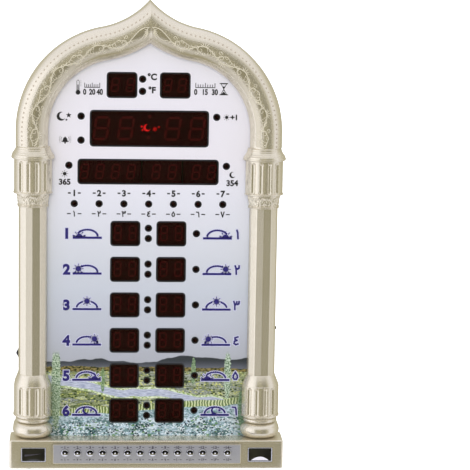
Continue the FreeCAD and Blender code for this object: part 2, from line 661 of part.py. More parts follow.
clock_display = module("clock_display", "0", "clock_z", "clock_w", "clock_h")
temperature_display = module("temperature_display", "temp_x", "top_z", "top_w", "top_h")
countdown_display = module("countdown_display", "count_x", "top_z", "top_w", "top_h")
year_display = module("year_display", "year_x", "date_z", "year_w", "date_h")
month_display = module("month_display", "month_x", "date_z", "month_w", "date_h")
day_display = module("day_display", "days_x", "date_z", "days_w", "date_h")
row_displays = []
for i in range(6):
    z = "row_z - %d * row_pitch" % i
    row_displays.append(group("prayer_%d_display" % (i + 1), [
        module("prayer_%d_hours" % (i + 1), "-row_x", z, "row_w", "row_h"),
        module("prayer_%d_minutes" % (i + 1), "row_x", z, "row_w", "row_h")]))

post_xz = [(x, z) for z in ("post_top_z", "post_mid_z", "post_low_z") for x in ("-post_x", "post_x")]
board_blank = rounded_y("board_blank", block("board_box", "-board_x", "board_x", "board_y", "board_y + board_t",
                                             "base_h + 5", "speaker_z - speaker_r - 20"), 3)
board_top = block("board_top", -45, 45, "board_y", "board_y + board_t", "post_top_z - 10", "speaker_z - speaker_r - 2")
main_board = cut("main_board", fuse("board_plate", [board_blank, board_top]), [
    rod_y("board_hole_%d" % i, 1.6, "board_y - 1", "board_y + board_t + 1", x, z)
    for i, (x, z) in enumerate(post_xz)])
board_screws = group("board_screws", [
    fuse("board_screw_%d" % i, [rod_y("board_screw_head_%d" % i, 2.7, "board_y - 1.6", "board_y", x, z),
                                rod_y("board_screw_stem_%d" % i, "screw_r", "board_y", "cover_y + 0.6", x, z)])
    for i, (x, z) in enumerate(post_xz)])


def chip(name, x, w, z, h):
    return centred(name, x, w, "board_y + board_t", "board_y + board_t + chip_t", z, h)


board_components = group("board_components", [
    chip("processor", 0, "processor_w", "row_z - 32.2", "processor_w"),
    chip("driver_1", "-board_x + 27", "driver_w", "week_z - 1.2", "driver_h"),
    chip("driver_2", "board_x - 27", "driver_w", "week_z - 1.2", "driver_h"),
    chip("driver_3", 0, "driver_h", "cell_z - 10", "driver_w"),
    chip("sound_memory", "board_x - 29", "driver_w + 2", "row_z - 42.2", "driver_w"),
    chip("crystal", "-processor_w", "driver_w + 1", "row_z - 14.2", "driver_w / 2 - 0.4"),
    centred("board_socket", 0, 28, "board_y - 4", "board_y", "base_h + 7.5", 4)])
battery_holder = cut("battery_holder", centred("holder_box", "cell_x", 25, "board_y - 4.6", "board_y", "cell_z", 22), [
    rod_y("holder_round", 10.2, "board_y - 6", "board_y - 1", "cell_x", "cell_z")])
coin_cell = rod_y("coin_cell", 10, "board_y - 4.2", "board_y - 1", "cell_x", "cell_z")

speaker = fuse("speaker", [
    rod_y("speaker_rim", "speaker_r", "cover_y - 2", "cover_y", 0, "speaker_z"),
    rod_y("speaker_basket", "speaker_r - 3.5", "cover_y - 6", "cover_y - 2", 0, "speaker_z"),
    rod_y("speaker_magnet", "speaker_r - 8", "cover_y - speaker_t", "cover_y - 6", 0, "speaker_z")])

# ---------------------------------------------------------------- rear cover
cover_arch = arch_plate("cover_arch", "wall + 0.2", "cover_y", "case_back", "arch_z")
cover_low = block("cover_low", "-col_x - pocket_r", "col_x + pocket_r", "cover_y", "case_back", "base_h",
                  "arch_z")
posts = [rod_y("post_%d" % i, 3.4, "board_y + board_t", "cover_y", x, z) for i, (x, z) in enumerate(post_xz)]
cover_screw_xz = [(sign + x, z) for x, z in (("col_x", "ped_drum_z + 20.2"), ("col_x", "cap_drum_z + 11.2"),
                                             ("boss_x", "boss_z")) for sign in ("-", "")]
grille = [block("grille_%d" % i, -10, 10, "cover_y - 1", "case_back + 1", "speaker_z - 9.9 + %s" % (3.3 * i),
                "speaker_z - 8.1 + %s" % (3.3 * i)) for i in range(6)]
keyholes = []
for s, sign in (("left", "-"), ("right", "")):
    keyholes += [rod_y("key_entry_" + s, 4.5, "cover_y - 1", "case_back + 1", sign + "hang_x", "hang_z"),
                 centred("key_slot_" + s, sign + "hang_x", 4.4, "cover_y - 1", "case_back + 1",
                         "hang_z + 4", 8),
                 rod_y("key_end_" + s, 2.2, "cover_y - 1", "case_back + 1", sign + "hang_x", "hang_z + 8")]
post_holes = [rod_y("post_hole_%d" % i, "screw_r", "board_y", "cover_y + 0.7", x, z)
              for i, (x, z) in enumerate(post_xz)]
cover_holes = []
for i, (x, z) in enumerate(cover_screw_xz):
    cover_holes += [rod_y("cover_hole_%d" % i, 1.6, "cover_y - 1", "case_back + 1", x, z),
                    rod_y("cover_sink_%d" % i, 3, "case_back - 1.2", "case_back + 1", x, z)]
cover_plate = fuse("cover_plate", [cover_arch, cover_low] + posts)
rear_cover = cut("rear_cover", cover_plate, grille + keyholes + post_holes + cover_holes)


def screw(name, x, z):
    head = rod_y(name + "_head", 2.8, "case_back - 1.2", "case_back - 0.1", x, z)
    stem = rod_y(name + "_stem", "screw_r", "cover_y - 8", "case_back - 1.2", x, z)
    cross = [centred(name + "_cross_1", x, 3.2, "case_back - 0.7", "case_back + 1", z, 0.7),
             centred(name + "_cross_2", x, 0.7, "case_back - 0.7", "case_back + 1", z, 3.2)]
    return cut(name, fuse(name + "_blank", [head, stem]), cross)


def base_screw(name, x):
    head = rod(name + "_head", 2.8, 1.1, x, 4, "foot_h + 0.1")
    stem = rod(name + "_stem", "screw_r", 8, x, 4, "foot_h + 1.2")
    cross = [block(name + "_cross_1", "%s - 1.6" % x, "%s + 1.6" % x, 3.65, 4.35, 0, "foot_h + 0.7"),
             block(name + "_cross_2", "%s - 0.35" % x, "%s + 0.35" % x, 2.4, 5.6, 0, "foot_h + 0.7")]
    return cut(name, fuse(name + "_blank", [head, stem]), cross)


case_screws = group("case_screws", [screw("case_screw_%d" % i, x, z)
                                    for i, (x, z) in enumerate(cover_screw_xz)]
                    + [base_screw("base_screw_%d" % i, x) for i, x in enumerate(base_screw_x)])

# ---------------------------------------------------------------- inside the plinth
key_board_y = "-base_y + 8.9"
button_board = centred("button_board", 0, "base_w - 2 * base_wall", key_board_y, key_board_y + " + board_t", "key_z", "base_h - 11")
switches = []
for i, x in enumerate(key_x):
    body = centred("switch_body_%d" % i, x, 6, key_board_y + " - 3.5", key_board_y, "key_z", 6)
    plunger = rod_y("switch_plunger_%d" % i, 1.6, key_board_y + " - 4.5", key_board_y + " - 3.5", x, "key_z")
    switches.append(fuse("switch_%d" % i, [body, plunger]))
tact_switches = group("tact_switches", switches)
ir_receiver = fuse("ir_receiver", [
    centred("ir_body", "-eye_x", 6, "-base_y + 4.5", key_board_y, "eye_z", 7),
    ball("ir_dome", 2, "-eye_x", "-base_y + 4.6", "eye_z + 1")])
light_sensor = fuse("light_sensor", [
    rod_y("cell_disc", 2.6, "-base_y + 3.5", "-base_y + 5.5", "eye_x", "eye_z"),
    rod_y("cell_lead_1", 0.4, "-base_y + 5.5", key_board_y, "eye_x - 1.3", "eye_z"),
    rod_y("cell_lead_2", 0.4, "-base_y + 5.5", key_board_y, "eye_x + 1.3", "eye_z")])
jack_bore = rod_y("jack_bore", "jack_r", "base_y - 9", "base_y + 1", "jack_x", "jack_z")
dc_jack = cut("dc_jack", centred("jack_body", "jack_x", 9, "base_y - 12", "base_y", "jack_z", 11), [jack_bore])
ribbon_cable = fuse("ribbon_cable", [
    block("ribbon_rise", -13, 13, "board_y - 3", "board_y - 2.2", 10, "base_h + 5.5"),
    block("ribbon_run", -13, 13, "-base_y + 8.9 + board_t", "board_y - 2.2", 9.2, 10)])

# ---------------------------------------------------------------- flank fittings
slide_switch = block("slide_switch", "-col_x - pocket_r", "-col_x - 3.5", "side_y - 3.5", "side_y + 3.5",
                     "switch_z - 8", "switch_z + 6")
slide_switch_knob = fuse("slide_switch_knob", [
    block("knob_stem", "-col_x - shaft_r - 0.5", "-col_x - 9.2", "side_y - 1.3", "side_y + 1.3", "switch_z - 2",
          "switch_z + 2"),
    rounded_y("knob_cap", block("knob_cap_box", "-col_x - shaft_r - 2.6", "-col_x - shaft_r - 0.5", "side_y - 2.2",
                                "side_y + 2.2", "switch_z - 3.5", "switch_z + 3.5"), 0.9)])
temperature_sensor = fuse("temperature_sensor", [
    rod("bead_body", "bead_r", "shaft_r - 6", "col_x + 6.5", "side_y", "bead_z", ALONG_X),
    ball("bead_tip", "bead_r", "col_x + shaft_r - 0.1", "side_y", "bead_z")])

# ---------------------------------------------------------------- buttons
buttons = []
for i, x in enumerate(key_x):
    name = "button_%02d" % (i + 1)
    stem = rod_y(name + "_stem", "key_r", "-base_y - 0.2", "-base_y + 3.2", x, "key_z")
    collar = rod_y(name + "_collar", "min(key_r + 0.9; key_pitch / 2 - 0.3)", "-base_y + 2.8", "-base_y + 3.6", x, "key_z")
    dome = common(name + "_dome", [
        rod_y(name + "_dome_rod", "key_r", "-base_y - 3", "-base_y", x, "key_z"),
        ball(name + "_dome_ball", 4.25, x, "-base_y + 2.8", "key_z")])
    buttons.append(fuse(name, [stem, collar, dome]))

nodes = [arch_frame, left_column, right_column, base_plinth, base_bottom_plate, rear_cover, front_lens,
         printed_panel, red_filter, left_window, right_window, left_window_bezel, right_window_bezel,
         button_label_plate, main_board, clock_display, temperature_display, countdown_display,
         year_display, month_display, day_display] + row_displays + [
         indicator_leds, button_board, tact_switches, ir_receiver, light_sensor, temperature_sensor,
         speaker, coin_cell, battery_holder, dc_jack, slide_switch, slide_switch_knob, case_screws,
         board_screws, board_components, rubber_feet, ribbon_cable] + buttons

doc.recompute()
for obj in doc.Objects:
    if any(word in obj.State for word in ("Invalid", "Error")):
        raise RuntimeError("%s is %s" % (obj.Name, obj.State))
for node in nodes:
    shape = node.Shape
    if shape.isNull() or not shape.isValid() or shape.Volume <= 0:
        raise RuntimeError("%s has no valid shape" % node.Label)
    shape.exportStep(os.path.join("parts", node.Label + ".step"))
print(len(nodes), "nodes written")
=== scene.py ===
import math
import random

import bmesh
import bpy
import numpy as np
from mathutils import Matrix, Vector
from mathutils.kdtree import KDTree


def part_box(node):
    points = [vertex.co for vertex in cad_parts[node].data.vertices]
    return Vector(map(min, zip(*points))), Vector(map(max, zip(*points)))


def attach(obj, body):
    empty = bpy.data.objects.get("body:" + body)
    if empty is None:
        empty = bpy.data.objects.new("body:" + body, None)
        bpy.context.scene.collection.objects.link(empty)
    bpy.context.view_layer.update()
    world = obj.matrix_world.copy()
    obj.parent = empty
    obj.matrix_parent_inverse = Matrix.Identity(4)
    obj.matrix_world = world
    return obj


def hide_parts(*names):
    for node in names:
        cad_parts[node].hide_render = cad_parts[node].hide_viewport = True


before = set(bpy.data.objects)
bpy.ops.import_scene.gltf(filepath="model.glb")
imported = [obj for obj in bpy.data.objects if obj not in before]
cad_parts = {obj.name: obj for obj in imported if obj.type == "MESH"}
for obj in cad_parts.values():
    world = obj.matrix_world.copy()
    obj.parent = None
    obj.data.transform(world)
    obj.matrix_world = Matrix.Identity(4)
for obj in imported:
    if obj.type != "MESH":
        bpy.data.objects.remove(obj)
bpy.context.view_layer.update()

MM = 0.001
BODY = "housing"
scene = bpy.context.scene
scene.view_settings.view_transform = "Standard"


# ---------------------------------------------------------------- sizes read from the frame, in mm
def box_mm(node):
    low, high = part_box(node)
    return low / MM, high / MM


ARCH_LOW, ARCH_HIGH = box_mm("arch_frame")
BASE_LOW, BASE_HIGH = box_mm("base_plinth")
PLATE_LOW, PLATE_HIGH = box_mm("button_label_plate")
BACK = ARCH_HIGH.y                       # rear face of the case
PANEL_Y = box_mm("front_lens")[0].y      # front face of the clear panel
PRINT_Y = box_mm("printed_panel")[0].y   # front face of the printed sheet
MODULE_Y = box_mm("clock_display")[0].y  # front face of the display modules
AXIS_Y = 2.0                             # depth of the axis of columns and arch moulding

# arch moulding: haunch arc, then reverse arc up to the point
ARCH_X = ARCH_HIGH.x
ARCH_W = 26.4
HALF_ROUND = ARCH_W / 2
ARCH_R = 84.2
OGEE_X = 51.58
OGEE_R = 68.0
ARCH_FOOT_Z = ARCH_LOW.z
SPRING_Z = ARCH_FOOT_Z + 12
HAUNCH_X = ARCH_X - ARCH_R
ARCH_TURN = math.acos((OGEE_X - HAUNCH_X) / (ARCH_R + OGEE_R))
OGEE_Z = SPRING_Z + (ARCH_R + OGEE_R) * math.sin(ARCH_TURN)
WALL = 2.3
LENS_INSET = ARCH_W - 2.5

# columns, from the foot upwards
COLUMN_X = ARCH_X - 14.2
POCKET_R = 8.8
SHAFT_R = 11.8
DRUM_R = 15.4
LIP_OUT = 0.6
LIP_H = 1.3
COLLAR_OUT = 1.0
ABACUS_R = 17.6
TORUS_CORE = 9.9
TORUS_T = 6.4
BAND_CORE = 12.3
BAND_T = 1.9
BASE_TOP = BASE_HIGH.z
RING_Z = BASE_TOP + 2 * TORUS_T + 2 * BAND_T
PED_DRUM_Z = RING_Z + 1.2
PED_TOP_Z = PED_DRUM_Z + 26.2
SHAFT_Z = PED_TOP_Z + 8.6
ABACUS_Z = ARCH_FOOT_Z - 10.2
CAP_DRUM_Z = ABACUS_Z - 28
NECK_Z = CAP_DRUM_Z - 10.9
FLUTES = 4
FLUTE_R = 2.0
FLUTE_AXIS = DRUM_R + 0.7
FLUTE_END = 3.2
FLUTE_TURN = math.radians(25)

PRINT_T = 0.03           # thickness of a raised sign on the printed sheet


# ---------------------------------------------------------------- mesh helpers
def new_object(name, data):
    obj = bpy.data.objects.new(name, data)
    scene.collection.objects.link(obj)
    return obj


def shade(mesh, smooth):
    """Faces are smooth up to the given angle in degrees, or flat with 0."""
    mesh.polygons.foreach_set("use_smooth", [smooth > 0] * len(mesh.polygons))
    if smooth:
        mesh.set_sharp_from_angle(angle=math.radians(smooth))
    mesh.update()


def tidy_normals(obj):
    bm = bmesh.new()
    bm.from_mesh(obj.data)
    bmesh.ops.remove_doubles(bm, verts=bm.verts, dist=1e-7)
    bmesh.ops.recalc_face_normals(bm, faces=bm.faces)
    bm.to_mesh(obj.data)
    bm.free()


def grid_faces(rows, columns, close_columns=False, start=0):
    """Quads over a grid of points numbered row by row."""
    made = []
    last = columns if close_columns else columns - 1
    for i in range(rows - 1):
        for j in range(last):
            k = (j + 1) % columns
            made.append((start + i * columns + j, start + i * columns + k,
                         start + (i + 1) * columns + k, start + (i + 1) * columns + j))
    return made


def grid_rim(rows, columns):
    """Numbers of the outer points of such a grid, one after another."""
    right, top = columns - 1, (rows - 1) * columns
    return (list(range(right)) + [j * columns + right for j in range(rows - 1)]
            + [top + i for i in range(right, 0, -1)] + [j * columns for j in range(rows - 1, 0, -1)])


def wall_faces(rim, others):
    """Quads between two closed lines of points."""
    return [(a, b, d, c) for a, b, c, d in zip(rim, rim[1:] + rim[:1], others, others[1:] + others[:1])]


def sweep(count, start, turn):
    """Angles at equal steps from start, both ends included."""
    return [start + turn * i / count for i in range(count + 1)]


def joined(parts):
    """One vertex and face list from several."""
    verts, faces = [], []
    for part_verts, part_faces in parts:
        start = len(verts)
        verts += part_verts
        faces += [tuple(start + i for i in face) for face in part_faces]
    return verts, faces


def solid(name, parts, smooth=35):
    """A piece from parts of (vertices in mm, faces)."""
    verts, faces = joined(parts)
    mesh = bpy.data.meshes.new(name)
    mesh.from_pydata([tuple(c * MM for c in v) for v in verts], [], faces)
    mesh.validate()
    piece = new_object(name, mesh)
    tidy_normals(piece)
    shade(mesh, smooth)
    return piece


def facing(points, y):
    """An (x, z) outline set at a depth."""
    return [(x, y, z) for x, z in points]


def shifted(points, x, z):
    return [(a + x, b + z) for a, b in points]


def circle(radius, count, x=0.0, z=0.0):
    return [(x + radius * math.cos(2 * math.pi * i / count), z + radius * math.sin(2 * math.pi * i / count))
            for i in range(count)]


def rounded_rect(half_w, half_h, radius, steps=5):
    """Closed outline of a rectangle with round corners, round the origin."""
    made = []
    for quarter, (sx, sy) in enumerate(((1, 1), (-1, 1), (-1, -1), (1, -1))):
        for i in range(steps + 1):
            angle = (quarter + i / steps) * math.pi / 2
            made.append((sx * (half_w - radius) + radius * math.cos(angle),
                         sy * (half_h - radius) + radius * math.sin(angle)))
    return made


def closed_verts(loops):
    """The points of equal loops and the quads between them."""
    return ([point for loop in loops for point in loop],
            grid_faces(len(loops), len(loops[0]), close_columns=True))


def lofted(loops):
    """A closed solid from a stack of equal loops of (x, y, z)."""
    verts, faces = closed_verts(loops)
    count = len(loops[0])
    return verts, faces + [tuple(range(count - 1, -1, -1)), tuple(range(len(verts) - count, len(verts)))]


def ringed(loops):
    """A closed tube from equal loops of (x, y, z), the last joined to the first."""
    verts, faces = closed_verts(loops)
    count = len(loops[0])
    return verts, faces + wall_faces(list(range(len(verts) - count, len(verts))), list(range(count)))


def turned_y(profile, x, z, count=40):
    """A solid turned about an axis along Y through x, z; the profile is (radius, y)."""
    tip, tail = profile[0], profile[-1]
    verts = [(x, tip[1], z)]
    for radius, y in profile[1:-1]:
        verts += [(x + a, y, z + b) for a, b in circle(radius, count)]
    verts.append((x, tail[1], z))
    last = len(verts) - 1
    faces = [(0, 1 + (i + 1) % count, 1 + i) for i in range(count)]
    faces += grid_faces(len(profile) - 2, count, close_columns=True, start=1)
    start = last - count
    faces += [(last, start + i, start + (i + 1) % count) for i in range(count)]
    return verts, faces


def box_part(x0, x1, y0, y1, z0, z1):
    return lofted([facing([(x0, z0), (x1, z0), (x1, z1), (x0, z1)], y) for y in (y0, y1)])


def rod_part(radius, y0, y1, x, z, count=32):
    return lofted([facing(circle(radius, count, x, z), y) for y in (y0, y1)])


def flat_part(outline, y, thick=PRINT_T):
    return lofted([facing(outline, y), facing(outline, y + thick)])


def flat_ring(outer, inner, y):
    """A flat frame between two outlines."""
    back = y + PRINT_T
    return ringed([facing(outer, y), facing(inner, y), facing(inner, back), facing(outer, back)])


def carve(piece, *cutters):
    """Cut closed shapes out of a piece, one after another."""
    for number, parts in enumerate(cutters):
        tool = solid("%s_cutter_%d" % (piece.name, number), parts, 0)
        modifier = piece.modifiers.new("carve", "BOOLEAN")
        modifier.operation = "DIFFERENCE"
        modifier.solver = "EXACT"
        modifier.object = tool
        made = bpy.data.meshes.new_from_object(piece.evaluated_get(bpy.context.evaluated_depsgraph_get()))
        piece.modifiers.clear()
        piece.data = made
        bpy.data.objects.remove(tool)


def finish_piece(obj, material, slot, *nodes, body=BODY):
    obj.data.materials.clear()
    obj.data.materials.append(material)
    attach(obj, body)
    if nodes:
        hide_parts(*nodes)


# ---------------------------------------------------------------- material helpers
def new_material(name):
    material = bpy.data.materials.new(name)
    material.use_nodes = True
    tree = material.node_tree
    return material, tree, tree.nodes["Principled BSDF"]


def feed(tree, value, socket):
    """Sets a socket to a number or a colour, or links another socket to it."""
    if isinstance(value, (int, float)):
        socket.default_value = value
    elif isinstance(value, tuple):
        socket.default_value = (*value, 1)
    else:
        tree.links.new(value, socket)


def math_node(tree, operation, *values):
    node = tree.nodes.new("ShaderNodeMath")
    node.operation = operation
    for value, socket in zip(values, node.inputs):
        feed(tree, value, socket)
    return node.outputs["Value"]


def mix_colours(tree, factor, a, b, blend="MIX"):
    """A colour mix; a and b are colours or sockets."""
    node = tree.nodes.new("ShaderNodeMix")
    node.data_type = "RGBA"
    node.blend_type = blend
    feed(tree, factor, node.inputs["Factor"])
    feed(tree, a, node.inputs["A"])
    feed(tree, b, node.inputs["B"])
    return node.outputs["Result"]


def ranged(tree, source, low, high):
    """Runs from low to high while the source runs from 0 to 1."""
    node = tree.nodes.new("ShaderNodeMapRange")
    node.inputs["To Min"].default_value = low
    node.inputs["To Max"].default_value = high
    tree.links.new(source, node.inputs["Value"])
    return node.outputs["Result"]


def eased(tree, source, low, high):
    """0 below low and 1 above high, with soft ends; low may be the greater."""
    node = tree.nodes.new("ShaderNodeMapRange")
    node.interpolation_type = "SMOOTHSTEP"
    node.inputs["From Min"].default_value = low
    node.inputs["From Max"].default_value = high
    tree.links.new(source, node.inputs["Value"])
    return node.outputs["Result"]


def noise_node(tree, scale, detail=2.0, rough=0.5):
    coords = tree.nodes.new("ShaderNodeTexCoord")
    noise = tree.nodes.new("ShaderNodeTexNoise")
    noise.inputs["Scale"].default_value = scale
    noise.inputs["Detail"].default_value = detail
    noise.inputs["Roughness"].default_value = rough
    tree.links.new(coords.outputs["Object"], noise.inputs["Vector"])
    return noise.outputs["Fac"]


def ramp_node(tree, source, stops):
    ramp = tree.nodes.new("ShaderNodeValToRGB")
    elements = ramp.color_ramp.elements
    while len(elements) < len(stops):
        elements.new(0.5)
    for element, (place, colour) in zip(elements, stops):
        element.position = place
        element.color = (*colour, 1) if len(colour) == 3 else colour
    tree.links.new(source, ramp.inputs["Fac"])
    return ramp


def two_tones(tree, source, dark, light, edge=0.3):
    """A colour that follows a noise from dark to light."""
    return ramp_node(tree, source, [(edge, dark), (1 - edge, light)]).outputs["Color"]


def bump_node(tree, source, shader, strength, distance):
    bump = tree.nodes.new("ShaderNodeBump")
    bump.inputs["Strength"].default_value = strength
    bump.inputs["Distance"].default_value = distance
    tree.links.new(source, bump.inputs["Height"])
    tree.links.new(bump.outputs["Normal"], shader.inputs["Normal"])


def grained(name, dark, light, rough_low, rough_high, scale=400.0, metallic=0.0, bump=0.1, coat=0.0):
    """A surface whose colour and gloss vary over a fine grain."""
    material, tree, shader = new_material(name)
    grain = noise_node(tree, scale, 4.0, 0.6)
    tree.links.new(two_tones(tree, grain, dark, light), shader.inputs["Base Color"])
    tree.links.new(ranged(tree, grain, rough_low, rough_high), shader.inputs["Roughness"])
    shader.inputs["Metallic"].default_value = metallic
    shader.inputs["Coat Weight"].default_value = coat
    if bump:
        bump_node(tree, grain, shader, bump, 0.00005)
    return material


def champagne(name, dark, light):
    """Satin metallic paint with fine flakes between a dark and a light tone; its darker copy is painted
    shade in the hollows.
    """
    material, tree, shader = new_material(name)
    flakes = noise_node(tree, 2600.0, 2.0, 0.6)
    clouds = noise_node(tree, 22.0, 3.0)
    tint = two_tones(tree, flakes, dark, light, 0.32)
    warm = two_tones(tree, clouds, (0.96, 0.96, 0.95), (1.0, 1.0, 1.0))
    tree.links.new(mix_colours(tree, 1.0, tint, warm, "MULTIPLY"), shader.inputs["Base Color"])
    tree.links.new(ranged(tree, clouds, 0.23, 0.29), shader.inputs["Roughness"])
    shader.inputs["Metallic"].default_value = 0.74
    shader.inputs["Coat Weight"].default_value = 0.25
    shader.inputs["Coat Roughness"].default_value = 0.12
    bump_node(tree, flakes, shader, 0.06, 0.00004)
    return material


def see_through(tree, tint, roughness, mirror):
    """Makes the material a thin tinted sheet that mirrors a share of what falls on it."""
    tree.nodes.remove(tree.nodes["Principled BSDF"])
    through = tree.nodes.new("ShaderNodeBsdfTransparent")
    gloss = tree.nodes.new("ShaderNodeBsdfGlossy")
    mix = tree.nodes.new("ShaderNodeMixShader")
    feed(tree, tint, through.inputs["Color"])
    feed(tree, roughness, gloss.inputs["Roughness"])
    feed(tree, mirror, mix.inputs["Fac"])
    tree.links.new(through.outputs["BSDF"], mix.inputs[1])
    tree.links.new(gloss.outputs["BSDF"], mix.inputs[2])
    tree.links.new(mix.outputs["Shader"], tree.nodes["Material Output"].inputs["Surface"])


def clear_acrylic():
    """Clear sheet: lets everything through and mirrors more the flatter it is seen."""
    material, tree, _ = new_material("clear_acrylic_finish")
    dust = noise_node(tree, 900.0)
    weight = tree.nodes.new("ShaderNodeLayerWeight")
    weight.inputs["Blend"].default_value = 0.5
    steep = math_node(tree, "POWER", weight.outputs["Facing"], 5.0)
    mirror = math_node(tree, "MULTIPLY_ADD", steep, 0.8, 0.008)
    see_through(tree, (1.0, 1.0, 1.0), ranged(tree, dust, 0.02, 0.06), mirror)
    return material


def tinted_filter():
    """Dark red see-through sheet with a weak gloss."""
    material, tree, _ = new_material("red_filter_finish")
    tint = two_tones(tree, noise_node(tree, 500.0), (0.72, 0.43, 0.43), (0.74, 0.45, 0.45))
    see_through(tree, tint, 0.15, 0.006)
    return material


def srgb(red, green, blue):
    """Linear colour from 0..255 values."""
    return tuple(((c / 255 + 0.055) / 1.055) ** 2.4 if c > 10 else c / 3294.6 for c in (red, green, blue))


def ink(name, colour):
    """Printing ink with a slight grain; also used for painted highlights and reflections."""
    grain = 0.06
    low = tuple(c * (1 - grain) for c in colour)
    high = tuple(min(1.0, c * (1 + grain)) for c in colour)
    return grained(name, low, high, 0.5, 0.6, 900.0, 0.0, 0.0)


def lamp_glow(name, colour, strength):
    """A lit red die; the grain varies its brightness a little."""
    material, tree, shader = new_material(name)
    tint = two_tones(tree, noise_node(tree, 900.0), tuple(c * 0.8 for c in colour), colour)
    tree.links.new(tint, shader.inputs["Emission Color"])
    shader.inputs["Base Color"].default_value = (0.2, 0.01, 0.01, 1)
    shader.inputs["Emission Strength"].default_value = strength
    return material


# ---------------------------------------------------------------- printed picture
class Painter:
    """Builds a colour from shapes in mm on the X-Z plane of an object."""

    def __init__(self, tree):
        self.tree = tree
        coords = tree.nodes.new("ShaderNodeTexCoord")
        split = tree.nodes.new("ShaderNodeSeparateXYZ")
        tree.links.new(coords.outputs["Object"], split.inputs["Vector"])
        self.x = self.math("DIVIDE", split.outputs["X"], MM)
        self.z = self.math("DIVIDE", split.outputs["Z"], MM)

    def math(self, operation, *values):
        return math_node(self.tree, operation, *values)

    def mix(self, factor, a, b):
        return mix_colours(self.tree, factor, a, b)

    def step(self, value, low, high):
        return eased(self.tree, value, low, high)

    def place(self, x_size, z_size, seed):
        """Coordinates scaled so that one unit is the given size in mm."""
        node = self.tree.nodes.new("ShaderNodeCombineXYZ")
        feed(self.tree, self.math("DIVIDE", self.x, x_size), node.inputs["X"])
        feed(self.tree, self.math("DIVIDE", self.z, z_size), node.inputs["Y"])
        node.inputs["Z"].default_value = seed
        return node.outputs["Vector"]

    def noise(self, x_size, z_size, seed, detail=2.0):
        """Noise from about -0.5 to 0.5."""
        node = self.tree.nodes.new("ShaderNodeTexNoise")
        node.inputs["Scale"].default_value = 1.0
        node.inputs["Detail"].default_value = detail
        self.tree.links.new(self.place(x_size, z_size, seed), node.inputs["Vector"])
        return self.math("SUBTRACT", node.outputs["Fac"], 0.5)

    def cells(self, x_size, z_size, seed, feature="F1", output="Distance"):
        node = self.tree.nodes.new("ShaderNodeTexVoronoi")
        node.feature = feature
        node.inputs["Scale"].default_value = 1.0
        self.tree.links.new(self.place(x_size, z_size, seed), node.inputs["Vector"])
        return node.outputs[output]

    def line(self, height, slope, waves):
        """A height over x: straight line plus noise of (size, amount, seed)."""
        value = self.math("ADD", self.math("MULTIPLY", self.x, slope), height)
        for size, amount, seed in waves:
            value = self.math("ADD", value, self.math("MULTIPLY", self.noise(size, 1e6, seed), amount))
        return value

    def under(self, curve, soft=0.35):
        """1 below a curve."""
        return self.step(self.math("SUBTRACT", curve, self.z), -soft, soft)

    def both(self, a, b):
        return self.math("MULTIPLY", a, b)

    def mottled(self, x_size, z_size, seed, edge, dark, light, detail=2.0):
        """Two colours of 0..255 in patches."""
        pattern = self.noise(x_size, z_size, seed, detail)
        return self.mix(self.step(pattern, -edge, edge), srgb(*dark), srgb(*light))

    def spotted(self, ground, rows):
        """Rows of texture, its sizes in mm and seed, its limits, share of the ink, colour of 0..255."""
        for texture, x_size, z_size, seed, low, high, share, colour in rows:
            if texture == "NOISE":
                pattern = self.noise(x_size, z_size, seed, 3.0)
            else:
                pattern = self.cells(x_size, z_size, seed, texture)
            ground = self.mix(self.both(self.step(pattern, low, high), share), ground, srgb(*colour))
        return ground


def poplar(paint, ground, x, foot, height, width, tone):
    """A slim tree with a ragged outline over what is painted so far."""
    middle = foot + height / 2
    aside = paint.math("DIVIDE", paint.math("SUBTRACT", paint.x, x), width / 2)
    above = paint.math("DIVIDE", paint.math("SUBTRACT", paint.z, middle), height / 2)
    oval = paint.math("ADD", paint.math("POWER", aside, 2),
                      paint.math("POWER", paint.math("ABSOLUTE", above), 2.6))
    ragged = paint.math("ADD", oval, paint.math("MULTIPLY", paint.noise(1.5, 1.9, x), 1.5))
    inside = paint.step(ragged, 1.0, 0.75)
    leaves = paint.mottled(1.0, 1.4, x + 3, 0.14, (78, 112, 74), tone)
    return paint.mix(paint.both(inside, 0.9), ground, leaves)


FIELD_SIZES = (24, 3.4, 3.0)      # width, depth and seed of the fields
# grain of the crops, sunny places, hedges between the fields, and bushes, as Painter.spotted takes them
FIELD_SPOTS = [("NOISE", 1.6, 1.0, 8.0, -0.06, 0.12, 0.6, (66, 84, 38)),
               ("F1", 2.9, 1.7, 41.0, 0.34, 0.26, 0.7, (220, 224, 118)),
               ("DISTANCE_TO_EDGE", *FIELD_SIZES, 0.08, 0.02, 0.6, (78, 94, 46)),
               ("F1", 3.8, 2.5, 18.0, 0.33, 0.25, 0.9, (46, 62, 34))]
# shade, light, pale flowers, dark gaps and leaves of the meadow
MEADOW_SPOTS = [("NOISE", 13.0, 5.0, 35.0, -0.04, 0.1, 0.8, (48, 88, 84)),
                ("NOISE", 16.0, 5.0, 36.0, 0.03, 0.12, 0.6, (222, 234, 244)),
                ("F1", 1.9, 1.35, 31.0, 0.44, 0.34, 0.9, (232, 240, 248)),
                ("F1", 2.7, 1.9, 24.0, 0.36, 0.28, 0.95, (20, 38, 54)),
                ("F1", 5.6, 3.1, 37.0, 0.27, 0.2, 0.8, (92, 142, 70))]
# trees: x, foot, height and width in mm, and the lighter leaf colour
POPLARS = [(-74, 27, 76, 8.0, (204, 220, 196)), (-36, 60, 22, 3.6, (150, 172, 128)),
           (38, 66, 24, 3.8, (160, 182, 146)), (66, 54, 42, 6.0, (204, 220, 200)),
           (78, 30, 34, 6.5, (150, 180, 150))]


